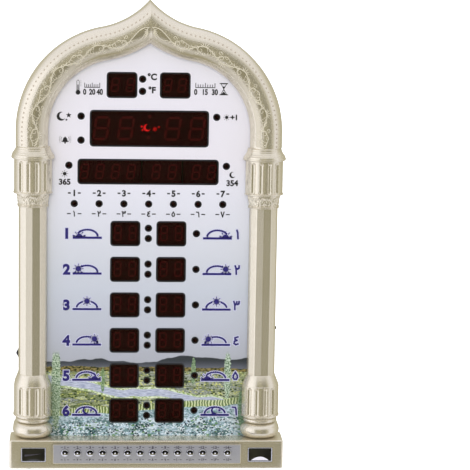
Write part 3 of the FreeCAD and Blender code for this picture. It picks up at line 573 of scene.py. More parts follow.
def landscape(paint, sky):
    """Hills, a wood, fields and a stream, from far to near."""
    hills = paint.line(88.0, 0.03, [(46, 19, 1.3), (13, 4.5, 4.1)])
    haze = paint.mix(paint.step(paint.z, 77, 88), srgb(112, 116, 128), srgb(58, 62, 66))
    colour = paint.mix(paint.under(hills), sky, haze)
    wood = paint.line(81.5, -0.01, [(30, 7, 2.2), (5, 1.8, 7.7), (1.7, 1.4, 9.1)])
    trees = paint.mottled(2.6, 1.3, 5.0, 0.12, (40, 50, 30), (142, 128, 78), 4.0)
    colour = paint.mix(paint.under(wood), colour, trees)
    channels = paint.tree.nodes.new("ShaderNodeSeparateColor")
    paint.tree.links.new(paint.cells(*FIELD_SIZES, output="Color"), channels.inputs["Color"])
    field = paint.mix(channels.outputs["Red"], srgb(104, 118, 56), srgb(206, 212, 168))
    field = paint.mix(paint.both(channels.outputs["Green"], 0.7), field, srgb(156, 160, 172))
    plain = paint.line(78.0, 0.0, [(22, 2.4, 6.0), (2.4, 1.0, 3.5)])
    colour = paint.mix(paint.under(plain), colour, paint.spotted(field, FIELD_SPOTS))
    stream = paint.line(60.0, -0.13, [(60, 20, 12.0), (17, 3, 2.0)])
    off = paint.math("ABSOLUTE", paint.math("SUBTRACT", paint.z, stream))
    banks = paint.mottled(1.6, 1.2, 6.6, 0.15, (140, 164, 96), (226, 234, 206))
    colour = paint.mix(paint.step(off, 5.2, 4.4), colour, banks)
    water = paint.mottled(5.0, 0.5, 14.0, 0.12, (150, 158, 184), (200, 206, 222))
    return paint.mix(paint.step(off, 3.3, 2.8), colour, water)


def meadow(paint, colour):
    """Reeds above a meadow of small pale flowers, with trees in front."""
    edge = paint.line(46.0, 0.07, [(36, 11, 21.0), (6, 1.6, 22.0)])
    grass = paint.mottled(4.0, 3.0, 23.0, 0.12, (112, 146, 150), (184, 206, 222), 3.0)
    flowers = paint.spotted(grass, MEADOW_SPOTS)
    near = paint.under(paint.line(38.0, 0.04, [(15, 9, 26.0), (3, 3, 27.0)]), 2.0)
    ground = paint.mix(near, paint.mix(0.5, grass, flowers), flowers)
    colour = paint.mix(paint.under(edge), colour, ground)
    over = paint.math("SUBTRACT", paint.z, edge)
    swayed = paint.math("ADD", paint.x, paint.both(paint.noise(9, 5, 33.0), 4.0))
    stripe = paint.math("SUBTRACT", paint.math("FRACT", paint.math("DIVIDE", swayed, 2.4)), 0.5)
    stalks = paint.step(paint.math("ABSOLUTE", stripe), 0.16, 0.24)
    reeds = paint.mix(stalks, srgb(214, 222, 172), srgb(104, 124, 62))
    band = paint.both(paint.step(over, -0.8, -0.3), paint.step(over, 5.4, 4.4))
    colour = paint.mix(paint.both(band, 0.9), colour, reeds)
    for tree in POPLARS:
        colour = poplar(paint, colour, *tree)
    return colour


SHEET_TOP = 350
# colours of the sheet by height in mm, darker towards the bottom
SHEET_STOPS = [(24, (150, 160, 165)), (88, (174, 177, 187)), (112, (186, 190, 202)), (145, (197, 202, 213)),
               (175, (208, 211, 220)), (228, (225, 225, 235)), (255, (229, 226, 234)),
               (SHEET_TOP, (229, 227, 236))]


def printed_sheet():
    """Pale lilac print that darkens to a blue-grey lower down, with a landscape along its foot and painted
    shade at its lower sides.
    """
    material, tree, shader = new_material("printed_sheet_finish")
    paint = Painter(tree)
    stops = [(z / SHEET_TOP, srgb(*colour)) for z, colour in SHEET_STOPS]
    sky = ramp_node(tree, paint.math("DIVIDE", paint.z, SHEET_TOP), stops).outputs["Color"]
    colour = meadow(paint, landscape(paint, sky))
    # painted shade: dark green over the lower sides of the sheet, next to the columns
    painted_light_edges = paint.both(paint.step(paint.math("ABSOLUTE", paint.x), 62, 84), paint.step(paint.z, 80, 58))
    colour = paint.mix(paint.both(painted_light_edges, 0.5), colour, srgb(44, 66, 38))
    tree.links.new(paint.mix(paint.step(paint.z, 96, 90), sky, colour), shader.inputs["Base Color"])
    shader.inputs["Roughness"].default_value = 0.5
    shader.inputs["Specular IOR Level"].default_value = 0.1
    return material


# ---------------------------------------------------------------- materials
def grey(dark, light, blue=0.0):
    """Two neutral tones, a little blue if asked."""
    return (dark, dark, dark + blue), (light, light, light + blue)


PAINT = champagne("champagne_paint_finish", (0.70, 0.64, 0.495), (0.83, 0.765, 0.61))
# darker copy of the champagne paint: painted shade in the hollow ground between the vine's stem and the
# inner band
PAINT_HOLLOW_SHADE = champagne("champagne_hollow_finish", (0.53, 0.48, 0.35), (0.66, 0.60, 0.45))
# lighter copy of the champagne paint: painted highlight on the vine's cords and along the button plate's
# edge
PAINT_HIGHLIGHT = grained("champagne_light_finish", (0.76, 0.70, 0.55), (0.86, 0.80, 0.64), 0.3, 0.4, 300,
                      0.4, 0.0)
# darker copy of the champagne paint: painted shade on the beads
PAINT_SHADE = grained("champagne_painted_shade_finish", (0.56, 0.48, 0.37), (0.66, 0.57, 0.45), 0.3, 0.4, 300,
                     0.6, 0.0)
CASE = grained("case_plastic_finish", *grey(0.055, 0.075, 0.003), 0.45, 0.6, 900)
CHROME = grained("bright_plating_finish", *grey(0.86, 0.93, 0.01), 0.05, 0.1, 300, 1.0, 0.0)
SMOKED = grained("smoked_plating_finish", *grey(0.84, 0.9, 0.01), 0.04, 0.08, 300, 1.0, 0.0)
PLATE = grained("plate_silver_finish", *grey(0.43, 0.55, 0.03), 0.38, 0.5, 1800, 0.5, 0.08)
BLACK_GLOSS = grained("window_black_finish", *grey(0.004, 0.008, 0.002), 0.03, 0.08, 200, 0.0, 0.0, 1.0)
DISPLAY_BLACK = grained("display_black_finish", (0.012, 0.010, 0.010), (0.02, 0.016, 0.016), 0.4, 0.6, 700)
BOARD = grained("board_green_finish", (0.01, 0.09, 0.035), (0.02, 0.14, 0.06), 0.3, 0.45, 500)
STEEL = grained("steel_finish", *grey(0.45, 0.62, 0.01), 0.2, 0.35, 1500, 1.0)
RUBBER = grained("rubber_finish", *grey(0.02, 0.035), 0.75, 0.9, 1200, 0.0, 0.3)
RIBBON = grained("ribbon_grey_finish", (0.35, 0.35, 0.36), (0.5, 0.5, 0.5), 0.5, 0.6, 600)
BEAD = grained("bead_black_finish", *grey(0.008, 0.016), 0.15, 0.25, 500)
KNOB = grained("knob_black_finish", (0.012, 0.012, 0.013), (0.02, 0.02, 0.022), 0.35, 0.5, 900)
SPEAKER = grained("speaker_grey_finish", *grey(0.1, 0.2), 0.5, 0.7, 400)
COMPONENT = grained("component_black_finish", (0.015, 0.015, 0.016), (0.03, 0.03, 0.03), 0.4, 0.55, 800)
SHEET = printed_sheet()
FILTER = tinted_filter()
LED = grained("led_red_finish", (0.018, 0.012, 0.012), (0.03, 0.02, 0.02), 0.3, 0.4, 300)
ACRYLIC = clear_acrylic()
MODULE = grained("module_face_finish", (0.016, 0.014, 0.014), (0.024, 0.021, 0.021), 0.5, 0.65, 250)
SEGMENT = grained("segment_finish", (0.095, 0.034, 0.038), (0.12, 0.044, 0.05), 0.45, 0.6, 500)
GLOW = lamp_glow("lit_segment_finish", (1.0, 0.05, 0.05), 1.2)
GLOW_DIM = lamp_glow("dim_segment_finish", (1.0, 0.04, 0.04), 0.5)
INK_BLACK = ink("ink_black", (0.010, 0.009, 0.012))
# grey ink for the button numerals, also the grey painted reflection on the left pane
GREY_INK_AND_PAINTED_REFLECTION = ink("grey_ink_and_painted_reflection", srgb(62, 58, 68))
INK_NAVY = ink("ink_navy", srgb(35, 27, 107))
# pale ink for the printed halos, also the painted glint on the buttons and the pale painted reflection on
# the right pane
PALE_INK_AND_PAINTED_HIGHLIGHT = ink("pale_ink_and_painted_highlight", srgb(240, 238, 248))
INK_LILAC = ink("ink_lilac", srgb(205, 206, 232))

NODE_MATERIALS = {
    "base_bottom_plate": CASE, "rear_cover": CASE, "front_lens": ACRYLIC, "printed_panel": SHEET,
    "red_filter": FILTER, "left_window": BLACK_GLOSS, "right_window": BLACK_GLOSS,
    "left_window_bezel": CHROME, "right_window_bezel": CHROME, "button_label_plate": PLATE,
    "main_board": BOARD, "button_board": BOARD, "indicator_leds": LED, "tact_switches": COMPONENT,
    "ir_receiver": BEAD, "light_sensor": LED, "temperature_sensor": BEAD, "speaker": SPEAKER,
    "coin_cell": STEEL, "battery_holder": COMPONENT, "dc_jack": COMPONENT, "slide_switch": COMPONENT,
    "slide_switch_knob": KNOB, "case_screws": STEEL, "board_screws": STEEL,
    "board_components": COMPONENT, "rubber_feet": RUBBER, "ribbon_cable": RIBBON,
    "arch_frame": PAINT, "left_column": PAINT, "right_column": PAINT, "base_plinth": PAINT,
}
for node_name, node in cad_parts.items():
    if "display" in node_name:
        finish = DISPLAY_BLACK
    elif node_name.startswith("button_") and node_name[7:].isdigit():
        finish = CHROME
    else:
        finish = NODE_MATERIALS[node_name]
    node.data.materials.clear()
    node.data.materials.append(finish)


# ---------------------------------------------------------------- raised ornament
class Relief:
    """Soft ridges along strokes drawn on an unrolled surface, in mm."""

    def __init__(self):
        self.samples = []

    def stroke(self, points, width, height, taper):
        """A ridge of the given half width; taper thins it towards its end."""
        points = [Vector((p[0], p[1], 0)) for p in points]
        length = sum((b - a).length for a, b in zip(points, points[1:])) or 1e-6
        gone = 0.0
        for a, b in zip(points, points[1:]):
            span = (b - a).length
            steps = max(1, int(span / 0.12))
            for i in range(steps):
                share = (gone + span * i / steps) / length
                scale = 1 - taper * share
                self.samples.append((a.lerp(b, i / steps), width * scale, height * scale))
            gone += span

    def dot(self, a, b, radius, height):
        self.samples.append((Vector((a, b, 0)), radius, height))

    def leaf(self, a, b, angle, length, width, height):
        """A pointed leaf with its root at a, b."""
        for i in range(9):
            t = i / 8
            half = width * math.sin(math.pi * (0.12 + 0.88 * t) ** 0.8) + 0.12
            place = Vector((a + length * t * math.cos(angle), b + length * t * math.sin(angle), 0))
            self.samples.append((place, half, height * (1 - 0.5 * t)))

    def field(self):
        """A function that gives the height at a point."""
        tree = KDTree(len(self.samples))
        for i, (place, _, _) in enumerate(self.samples):
            tree.insert(place, i)
        tree.balance()
        reach = max(width for _, width, _ in self.samples)

        def height(a, b):
            best = 0.0
            for _, i, distance in tree.find_range(Vector((a, b, 0)), reach):
                _, width, top = self.samples[i]
                if distance < width:
                    best = max(best, top * (1 - (distance / width) ** 2) ** 1.5)
            return best
        return height


def spiral(a, b, radius, turns, start, hand, steps=26):
    """Points of a closing spiral round a, b."""
    made = []
    for i in range(steps + 1):
        t = i / steps
        angle = start + hand * 2 * math.pi * turns * t
        r = radius * (1 - 0.78 * t)
        made.append((a + r * math.cos(angle), b + r * math.sin(angle)))
    return made


# ---------------------------------------------------------------- arch moulding
LEG_LENGTH = SPRING_Z - ARCH_FOOT_Z
MID_HAUNCH = (ARCH_R - HALF_ROUND) * ARCH_TURN
OGEE_END = math.acos(OGEE_X / (OGEE_R + HALF_ROUND))
MID_OGEE = (OGEE_R + HALF_ROUND) * (ARCH_TURN - OGEE_END)
HALF_LENGTH = LEG_LENGTH + MID_HAUNCH + MID_OGEE     # of the moulding's middle line, foot to point
WAVE = HALF_LENGTH / 4
VINE_MIDDLE = 2.2
VINE_SWING = 3.3
OUTER_BAND = -4.2        # edge of the smooth outer band, round the moulding from its front
INNER_BAND = 9.4         # edge of the hammered inner band
BEAD_PITCH = 3.45
BEAD_R = 0.74
BEAD_ACROSS = -8.4


def arch_place(along, inset):
    """Point and outward direction on the right half, by way along the middle and inset from outside."""
    if along <= LEG_LENGTH:
        return (ARCH_X - inset, ARCH_FOOT_Z + along), (1.0, 0.0)
    if along <= LEG_LENGTH + MID_HAUNCH:
        angle = (along - LEG_LENGTH) / MID_HAUNCH * ARCH_TURN
        out = (math.cos(angle), math.sin(angle))
        radius = ARCH_R - inset
        return (HAUNCH_X + radius * out[0], SPRING_Z + radius * out[1]), out
    share = min(1.0, (along - LEG_LENGTH - MID_HAUNCH) / MID_OGEE)
    radius = OGEE_R + inset
    end = math.acos(OGEE_X / radius)
    angle = math.pi + ARCH_TURN + (end - ARCH_TURN) * share
    out = (-math.cos(angle), -math.sin(angle))
    x = OGEE_X - radius * out[0]
    return (max(0.0, x) if share < 1 else 0.0, OGEE_Z - radius * out[1]), out


def stem_line(along):
    """How far across the moulding the stem of the vine runs."""
    return VINE_MIDDLE + VINE_SWING * math.sin(2 * math.pi * along / WAVE)


# curls in the hollow of a wave: along from the crest, across towards the hollow, radius, turns, start,
# hand, radius of the cord and steps
CURLS = [(2.9, 3.3, 2.9, 1.2, 1.9, -1, 0.28, 26), (-4.6, 3.9, 2.2, 1.0, 1.2, 1, 0.26, 26),
         (7.2, 1.4, 1.5, 1.0, 2.4, 1, 0.24, 18), (-1.0, 5.6, 1.5, 1.0, 0.4, -1, 0.23, 18),
         (-8.4, 2.2, 1.5, 1.1, 0.9, -1, 0.22, 18), (5.6, 6.4, 1.7, 1.1, 2.9, 1, 0.22, 18)]
VINE_STEPS = 400


def leaf_stroke(a, b, angle, length, width):
    """A pointed leaf with its root at a, b, as (along, across, radius)."""
    made = []
    for i in range(7):
        t = i / 6
        half = width * math.sin(math.pi * (0.1 + 0.88 * t) ** 0.8)
        made.append((a + length * t * math.cos(angle), b + length * t * math.sin(angle), max(0.1, half)))
    return made


def arch_vine():
    """Strokes of the vine as lists of (along, across, radius), in mm."""
    strokes = []

    def cord(points, radius, taper=0.0):
        last = len(points) - 1
        strokes.append([(a, b, radius * (1 - taper * i / last)) for i, (a, b) in enumerate(points)])

    def leaf(*place_and_size):
        strokes.append(leaf_stroke(*place_and_size))

    start, end = 1.2, HALF_LENGTH - 1.5
    stem, runner = [], []
    for i in range(VINE_STEPS + 1):
        along = start + (end - start) * i / VINE_STEPS
        turn = 2 * math.pi * along / WAVE
        stem.append((along, stem_line(along)))
        runner.append((along, VINE_MIDDLE - 0.8 * VINE_SWING * math.sin(turn + 0.5)
                       + 0.8 * math.sin(3 * turn)))
    cord(stem, 0.33)
    cord(runner, 0.22)
    for k in range(8):
        crest = WAVE * (0.25 + k * 0.5)
        side = 1 if k % 2 == 0 else -1
        across = VINE_MIDDLE + side * VINE_SWING
        if crest > HALF_LENGTH - 10:
            continue
        for ahead, inward, radius, turns, first, hand, thick, steps in CURLS:
            curl = spiral(crest + ahead, across - side * inward, radius, turns,
                          side * first, side * hand, steps)
            cord(curl, thick, 0.4)
        # a frond of five leaves outside the crest
        for n, turn in enumerate((-1.2, -0.6, 0.0, 0.6, 1.2)):
            leaf(crest + 0.8 * (n - 2), across + side * 0.3, side * (math.pi / 2) + turn * -side * 0.9,
                 3.2 - 0.4 * abs(n - 2), 0.28)
        for step in (-7.5, -2.6, 5.2, 9.6):
            for lean in (-0.7, 0.5):
                leaf(crest + step, across - side * (0.6 + 0.5 * abs(step) / 3),
                     side * lean * 2.2 - 0.3 * side, 2.1, 0.24)
    for turn in (-0.9, -0.45, 0.0, 0.45, 0.9):
        leaf(HALF_LENGTH - 2.6, 3.4 + turn, math.pi - turn * 0.6, 4.4, 0.42)
    return strokes


def on_arch(along, across, lift):
    """A point on the right half of the moulding and the direction out of its surface."""
    angle = across / HALF_ROUND
    (x, z), out = arch_place(along, HALF_ROUND + (HALF_ROUND + lift) * math.sin(angle))
    normal = Vector((-out[0] * math.sin(angle), -math.cos(angle), -out[1] * math.sin(angle)))
    return Vector((x, AXIS_Y - (HALF_ROUND + lift) * math.cos(angle), z)), normal


CORD_SIDES = 8
CORD_FLAT = 0.8


def laid_cord(stroke):
    """A slightly flat cord that follows the moulding, sunk by half."""
    places = [on_arch(a, b, 0.05) for a, b, _ in stroke]
    loops = []
    for i, (place, normal) in enumerate(places):
        before, after = places[max(0, i - 1)][0], places[min(len(places) - 1, i + 1)][0]
        across = (after - before).normalized().cross(normal)
        radius = stroke[i][2]
        loop = []
        for k in range(CORD_SIDES):
            turn = 2 * math.pi * k / CORD_SIDES
            aside, lift = radius * math.cos(turn), radius * CORD_FLAT * math.sin(turn)
            loop.append(place + across * aside + normal * lift)
        loops.append(loop)
    return lofted([[tuple(point) for point in loop] for loop in loops])


def laid_bead(along, across, radius):
    """A low dome on the moulding."""
    loops = []
    for scale, lift in ((1.0, -0.3), (1.0, 0.05), (0.7, 0.26), (0.25, 0.34)):
        loop = []
        for k in range(10):
            turn = 2 * math.pi * k / 10
            reach = radius * scale
            place, _ = on_arch(along + reach * math.cos(turn), across + reach * math.sin(turn), lift)
            loop.append(tuple(place))
        loops.append(loop)
    return lofted(loops)


def vine_ground(bumps):
    """A thin hammered skin on the moulding between the stem and the inner band."""
    count, columns = 420, 18
    loops = []
    for i in range(count + 1):
        along = 1.3 + (HALF_LENGTH - 2.8) * i / count
        stem = stem_line(along)
        line = [stem + (INNER_BAND - stem) * k / columns for k in range(columns + 1)]
        front = [tuple(on_arch(along, a, 0.03 + 0.5 * bumps(along, a))[0]) for a in line]
        back = [tuple(on_arch(along, a, -0.25)[0]) for a in reversed(line)]
        loops.append(front + back)
    return lofted(loops)


def mirrored_pair(name, parts, material, smooth=60):
    """The same parts on both halves of the arch."""
    for suffix, side in (("_right", 1), ("_left", -1)):
        placed = [([(side * x, y, z) for x, y, z in verts], faces) for verts, faces in parts]
        finish_piece(solid(name + suffix, placed, smooth), material, "champagne_paint", "arch_frame")


def hammered(seed, spacing, low, high, length):
    """Random shallow bumps on an unrolled strip."""
    rng = random.Random(seed)
    relief = Relief()
    rows = int((high - low) / spacing)
    for i in range(int(length / spacing)):
        for j in range(rows):
            along = (i + rng.uniform(0.15, 0.85)) * spacing
            across = low + (j + rng.uniform(0.15, 0.85)) * spacing
            relief.dot(along, across, spacing * rng.uniform(0.42, 0.6), rng.uniform(0.12, 0.24))
    return relief.field()


def arch_section():
    """Closed loop of (inset, y, across) round the moulding's wall; across is None away from the front."""
    lip = math.acos((AXIS_Y - PANEL_Y) / HALF_ROUND)
    loop = [(LENS_INSET - 0.3, PANEL_Y, None)]
    across = HALF_ROUND * lip
    fine = []
    while across > -HALF_ROUND * math.pi / 2 + 0.6:
        fine.append(across)
        across -= 0.26 if -9.6 < across else 1.1
    for value in fine:
        angle = value / HALF_ROUND
        loop.append((HALF_ROUND * (1 + math.sin(angle)), AXIS_Y - HALF_ROUND * math.cos(angle), value))
    loop += [(0.0, AXIS_Y, None), (0.0, AXIS_Y + 5, None), (0.0, BACK - 0.25, None), (0.25, BACK, None),
             (WALL, BACK, None), (WALL, AXIS_Y + 4, None)]
    inner = HALF_ROUND - WALL
    for degrees in (-90, -65, -40, -15, 10, 35, 60):
        angle = math.radians(degrees)
        loop.append((HALF_ROUND + inner * math.sin(angle), AXIS_Y - inner * math.cos(angle), None))
    loop.append((LENS_INSET - 0.3, AXIS_Y - 5.5, None))
    return loop


def build_arch():
    inner_bumps = hammered(7, 1.3, INNER_BAND, 16.0, HALF_LENGTH)
    ground = hammered(11, 1.1, OUTER_BAND, 9.8, HALF_LENGTH)
    section = arch_section()
    count = 640
    verts = []
    for i in range(count + 1):
        along = HALF_LENGTH * i / count
        edge = min(1.0, along / 1.2)
        for inset, y, across in section:
            lift = angle = 0.0
            if across is not None:
                angle = across / HALF_ROUND
                if across > INNER_BAND:
                    lift = 0.8 * inner_bumps(along, across) * edge
                elif across > OUTER_BAND:
                    lift = 0.45 * ground(along, across) * edge
            (x, z), _ = arch_place(along, inset + lift * math.sin(angle))
            verts.append((x, y - lift * math.cos(angle), z))
    n = len(section)
    faces = grid_faces(count + 1, n, close_columns=True)
    faces += [tuple(range(n)), tuple(range(count * n, (count + 1) * n))]
    mirrored_pair("arch_moulding", [(verts, faces)], PAINT, 50)
    # the hammered ground takes the darker paint: painted shade in the hollow
    mirrored_pair("arch_ground", [vine_ground(ground)], PAINT_HOLLOW_SHADE)
    # the vine's cords take the lighter paint: painted highlight
    mirrored_pair("arch_vine", [laid_cord(stroke) for stroke in arch_vine()], PAINT_HIGHLIGHT)
    beads = int((HALF_LENGTH - 2) / BEAD_PITCH)
    dots = [laid_bead((i + 0.5) * BEAD_PITCH, BEAD_ACROSS, BEAD_R) for i in range(beads)]
    # the beads take the darker paint: painted shade
    mirrored_pair("arch_beads", dots, PAINT_SHADE)


# ---------------------------------------------------------------- columns
def softened(profile, radius):
    """A (radius, height) outline with small arcs at its corners."""
    steps = 2
    made = [profile[0]]
    for before, here, after in zip(profile, profile[1:], profile[2:]):
        a = Vector(before) - Vector(here)
        b = Vector(after) - Vector(here)
        cut = min(radius, a.length * 0.4, b.length * 0.4)
        if cut < 0.02 or abs(a.normalized().dot(b.normalized())) > 0.9:
            made.append(here)
            continue
        start, end = Vector(here) + a.normalized() * cut, Vector(here) + b.normalized() * cut
        for i in range(steps + 1):
            t = i / steps
            point = (1 - t) ** 2 * start + 2 * t * (1 - t) * Vector(here) + t ** 2 * end
            made.append((point.x, point.y))
    made.append(profile[-1])
    return made


def dense(profile, low, high, step):
    """More rings between two heights."""
    made = []
    for a, b in zip(profile, profile[1:]):
        made.append(a)
        if a[1] >= low - 1e-6 and b[1] <= high + 1e-6 and b[1] - a[1] > step:
            parts = int((b[1] - a[1]) / step) + 1
            for i in range(1, parts):
                t = i / parts
                made.append((a[0] + (b[0] - a[0]) * t, a[1] + (b[1] - a[1]) * t))
    made.append(profile[-1])
    return made


def half_ring(core, half_height, z, parts=14):
    """Outline of a half-round ring from its underside to its top."""
    made = []
    for i in range(parts + 1):
        angle = -math.pi / 2 + math.pi * i / parts
        made.append((core + half_height * math.cos(angle), z + half_height * math.sin(angle)))
    return made


def drum_foot(z):
    """A round lip with a groove above it."""
    lip = half_ring(DRUM_R + LIP_OUT - LIP_H / 2, LIP_H / 2, z + LIP_H / 2, 8)
    groove_r = DRUM_R - 0.25
    return lip + [(groove_r, z + LIP_H + 0.05), (groove_r, z + LIP_H + 0.35), (DRUM_R, z + LIP_H + 0.7)]


def abacus():
    """Flared top ring, finely stepped."""
    low, high = ABACUS_Z + 2.4, ARCH_FOOT_Z - 0.5
    made = [(ABACUS_R - 1.5, ABACUS_Z + 0.1), (ABACUS_R - 0.5, ABACUS_Z + 0.1), (ABACUS_R, ABACUS_Z + 0.7),
            (ABACUS_R, ABACUS_Z + 1.7), (ABACUS_R - 0.45, ABACUS_Z + 1.9)]
    steps = 5
    tall = (high - low) / steps
    start_r = ABACUS_R - 0.3
    for i in range(steps):
        z = low + (high - low) * i / steps
        radius = start_r - (start_r - HALF_ROUND - 0.9) * (1 - (1 - i / steps) ** 2)
        made += [(radius, z), (radius - 0.42, z + tall * 0.86), (radius - 0.62, z + tall * 0.93)]
    return made + [(HALF_ROUND + 0.8, ARCH_FOOT_Z - 0.3), (HALF_ROUND + 0.5, ARCH_FOOT_Z)]


def column_profile():
    """(radius, height) outline of a column, from the plinth to the arch."""
    rings = half_ring(TORUS_CORE, TORUS_T, BASE_TOP + TORUS_T)
    rings += half_ring(BAND_CORE, BAND_T, BASE_TOP + 2 * TORUS_T + BAND_T, 8)[1:-1]
    collar, ring_r = SHAFT_R + COLLAR_OUT, BAND_CORE + BAND_T
    stack = [(BAND_CORE, RING_Z), (ring_r, RING_Z + 0.15), (ring_r, PED_DRUM_Z - 0.25),
             (ring_r - 0.4, PED_DRUM_Z)]
    stack += drum_foot(PED_DRUM_Z)
    stack += [(DRUM_R, PED_TOP_Z - 0.7), (DRUM_R - 0.4, PED_TOP_Z - 0.1), (DRUM_R - 0.5, PED_TOP_Z + 0.9),
              (SHAFT_R + 1.5, SHAFT_Z - 3.7), (SHAFT_R + 0.25, SHAFT_Z - 0.3),
              (SHAFT_R + 0.1, SHAFT_Z - 0.02), (SHAFT_R, SHAFT_Z), (SHAFT_R, NECK_Z),
              (SHAFT_R + 0.1, NECK_Z + 0.02)]
    for half_height, z in ((0.55, NECK_Z + 0.65), (0.5, NECK_Z + 1.75)):
        stack += half_ring(collar - half_height, half_height, z, 8)
    stack += [(SHAFT_R + 0.2, NECK_Z + 2.3), (DRUM_R - 2.0, CAP_DRUM_Z - 0.05)]
    stack += drum_foot(CAP_DRUM_Z)
    stack += [(DRUM_R, ABACUS_Z)] + abacus()
    profile = rings[:-1] + softened([rings[-1]] + stack, 0.25)
    profile = dense(profile, PED_DRUM_Z + LIP_H, PED_TOP_Z, 0.8)
    profile = dense(profile, NECK_Z + 2.2, CAP_DRUM_Z, 0.35)
    return dense(profile, CAP_DRUM_Z + LIP_H, ABACUS_Z + 0.05, 0.8)


def fluted(radius, angle, z, low, high):
    """Radius of a drum with round-ended flutes."""
    over = max(low + FLUTE_END - z, z - (high - FLUTE_END), 0.0)
    if over >= FLUTE_R:
        return radius
    reach = math.sqrt(FLUTE_R ** 2 - over ** 2)
    for i in range(FLUTES):
        turn = angle - (i - (FLUTES - 1) / 2) * FLUTE_TURN
        side = FLUTE_AXIS * math.sin(turn)
        if abs(side) < reach and abs(turn) < 0.3:
            radius = min(radius, FLUTE_AXIS * math.cos(turn) - math.sqrt(reach ** 2 - side ** 2))
    return radius


def shaft_radius(angle):
    """Twelve-sided section with a corner in front, its edges slightly blunted."""
    sector = math.pi / 6
    turn = (angle % sector) - sector / 2
    sharp = SHAFT_R * math.cos(sector / 2) / math.cos(turn)
    return min(sharp, SHAFT_R - 0.05)


def neck_leaves():
    """Upright leaves and pairs of curls round the neck, unrolled as (mm round, mm up)."""
    relief = Relief()
    low, high = NECK_Z + 2.5, CAP_DRUM_Z - 0.3
    reach = SHAFT_R * math.pi / 2
    count = 7
    for k in range(-count, count + 1):
        a = k * reach / count * 0.95
        if k % 2:
            for n, turn in enumerate((-0.75, -0.35, 0.0, 0.35, 0.75)):
                relief.leaf(a, low + 0.6, math.pi / 2 + turn, 5.6 - 1.1 * abs(n - 2), 0.55, 0.5)
        else:
            for aside, start, hand in ((-0.9, 0.2, 1), (0.9, math.pi - 0.2, -1)):
                relief.stroke(spiral(a + aside, high - 2.4, 1.5, 1.0, start, hand), 0.42, 0.4, 0.3)
            relief.leaf(a, low + 0.2, math.pi / 2, 3.6, 0.6, 0.45)
    return relief.field()


OUTLINE_COUNT = 172
FLUTED_DRUMS = ((PED_DRUM_Z, PED_TOP_Z), (CAP_DRUM_Z, ABACUS_Z))


def column_outline(radius_at, back_outer):
    """Outer contour of one ring as (x, y) for a right column, from its outer rear corner to the panel."""
    points = [(back_outer, BACK - AXIS_Y), (back_outer, 6.0), (back_outer, 0.6)]
    limit = math.acos((AXIS_Y - PANEL_Y) / 12.9)
    for i in range(OUTLINE_COUNT + 1):
        angle = math.pi / 2 - (math.pi / 2 + limit) * i / OUTLINE_COUNT
        radius = radius_at(angle)
        points.append((radius * math.sin(angle), -radius * math.cos(angle)))
    points[-1] = (points[-1][0], PANEL_Y - AXIS_Y)
    return points


def column_radius(radius, z, leaves):
    """The radius of a ring of the column by the angle from its front."""
    if SHAFT_Z - 0.001 <= z <= NECK_Z + 0.001:
        return shaft_radius
    for low, high in FLUTED_DRUMS:
        if low + LIP_H < z < high:
            return lambda angle: fluted(radius, angle, z, low, high)
    if NECK_Z + 2.3 < z < CAP_DRUM_Z - 0.1:
        return lambda angle: radius + leaves(angle * SHAFT_R, z)
    return lambda angle: radius


def build_column(name, node, side):
    """side is 1 for the right column and -1 for the left."""
    leaves = neck_leaves()
    loops = []
    for radius, z in column_profile():
        outline = column_outline(column_radius(radius, z, leaves), radius)
        inner = [(POCKET_R, BACK - AXIS_Y)]
        for i in range(1, len(outline)):
            angle = math.pi / 2 - math.pi * i / (len(outline) - 1)
            depth = -POCKET_R * math.cos(angle)
            inner.append((POCKET_R * math.sin(angle), min(depth, PANEL_Y - AXIS_Y) if angle < 0 else depth))
        loops.append([(side * (COLUMN_X + x), AXIS_Y + y, z) for x, y in outline + inner[::-1]])
    verts, faces = closed_verts(loops)
    ring = len(loops[0])
    for start in (0, len(verts) - ring):
        for i in range(ring // 2 - 1):
            faces.append((start + i, start + i + 1, start + ring - 2 - i, start + ring - 1 - i))
    column = solid(name, [(verts, faces)], 30)
    if side < 0:
        low, high = box_mm("slide_switch_knob")
        middle = (low + high) / 2
        carve(column, [box_part(-COLUMN_X - SHAFT_R - 5, -COLUMN_X - 6, middle.y - 2, middle.y + 2,
                                middle.z - 4.5, middle.z + 2.5)])
        shade(column.data, 30)
    finish_piece(column, PAINT, "champagne_paint", node)


# ---------------------------------------------------------------- plinth and its front
KEY_COUNT = 14
KEY_PITCH = 10.18
KEY_X = [(i - (KEY_COUNT - 1) / 2) * KEY_PITCH - 0.2 for i in range(KEY_COUNT)]
PLATE_MID = (PLATE_LOW + PLATE_HIGH) / 2
PLATE_HALF_W = (PLATE_HIGH.x - PLATE_LOW.x) / 2
PLATE_HALF_H = (PLATE_HIGH.z - PLATE_LOW.z) / 2
KEY_Z = PLATE_MID.z + 1.1
KEY_R = 3.0
KEY_HOLE_R = KEY_R + 0.3
DOME_BALL = 8.4
DOME_TURN = 18.5
# size of the small raised dot in pale ink in the middle of each button: painted highlight
GLINT_DOT_R = 0.55
GLINT_DOT_OUT = 0.2
BASE_EDGE = 2.2
BASE_WALL = 2.5
BASE_FILLET = 1.1
BASE_FRONT = BASE_LOW.y
EYE_HALF_W = 10.0
EYE_HALF_H = 6.0
EYE_Z = PLATE_MID.z - 0.5
EYES = [(side, (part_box(side + "_window")[0].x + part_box(side + "_window")[1].x) / 2 / MM)
        for side in ("left", "right")]
JACK_LOW, JACK_HIGH = box_mm("dc_jack")
BOSS_X = (JACK_LOW.x + JACK_HIGH.x) / 2 - 20


def plinth_levels():
    """(inset, height) of the plinth's side: a soft foot, a groove near the top and a round top edge."""
    top = BASE_TOP
    levels = [(0.35, BASE_LOW.z), (0.1, BASE_LOW.z + 0.1), (0.0, BASE_LOW.z + 0.4), (0.0, top - 2.3),
              (0.22, top - 2.15), (0.22, top - 1.85), (0.0, top - 1.7)]
    for i in range(7):
        angle = math.pi / 2 * i / 6
        levels.append((BASE_FILLET * (1 - math.cos(angle)), top - BASE_FILLET * (1 - math.sin(angle))))
    return levels


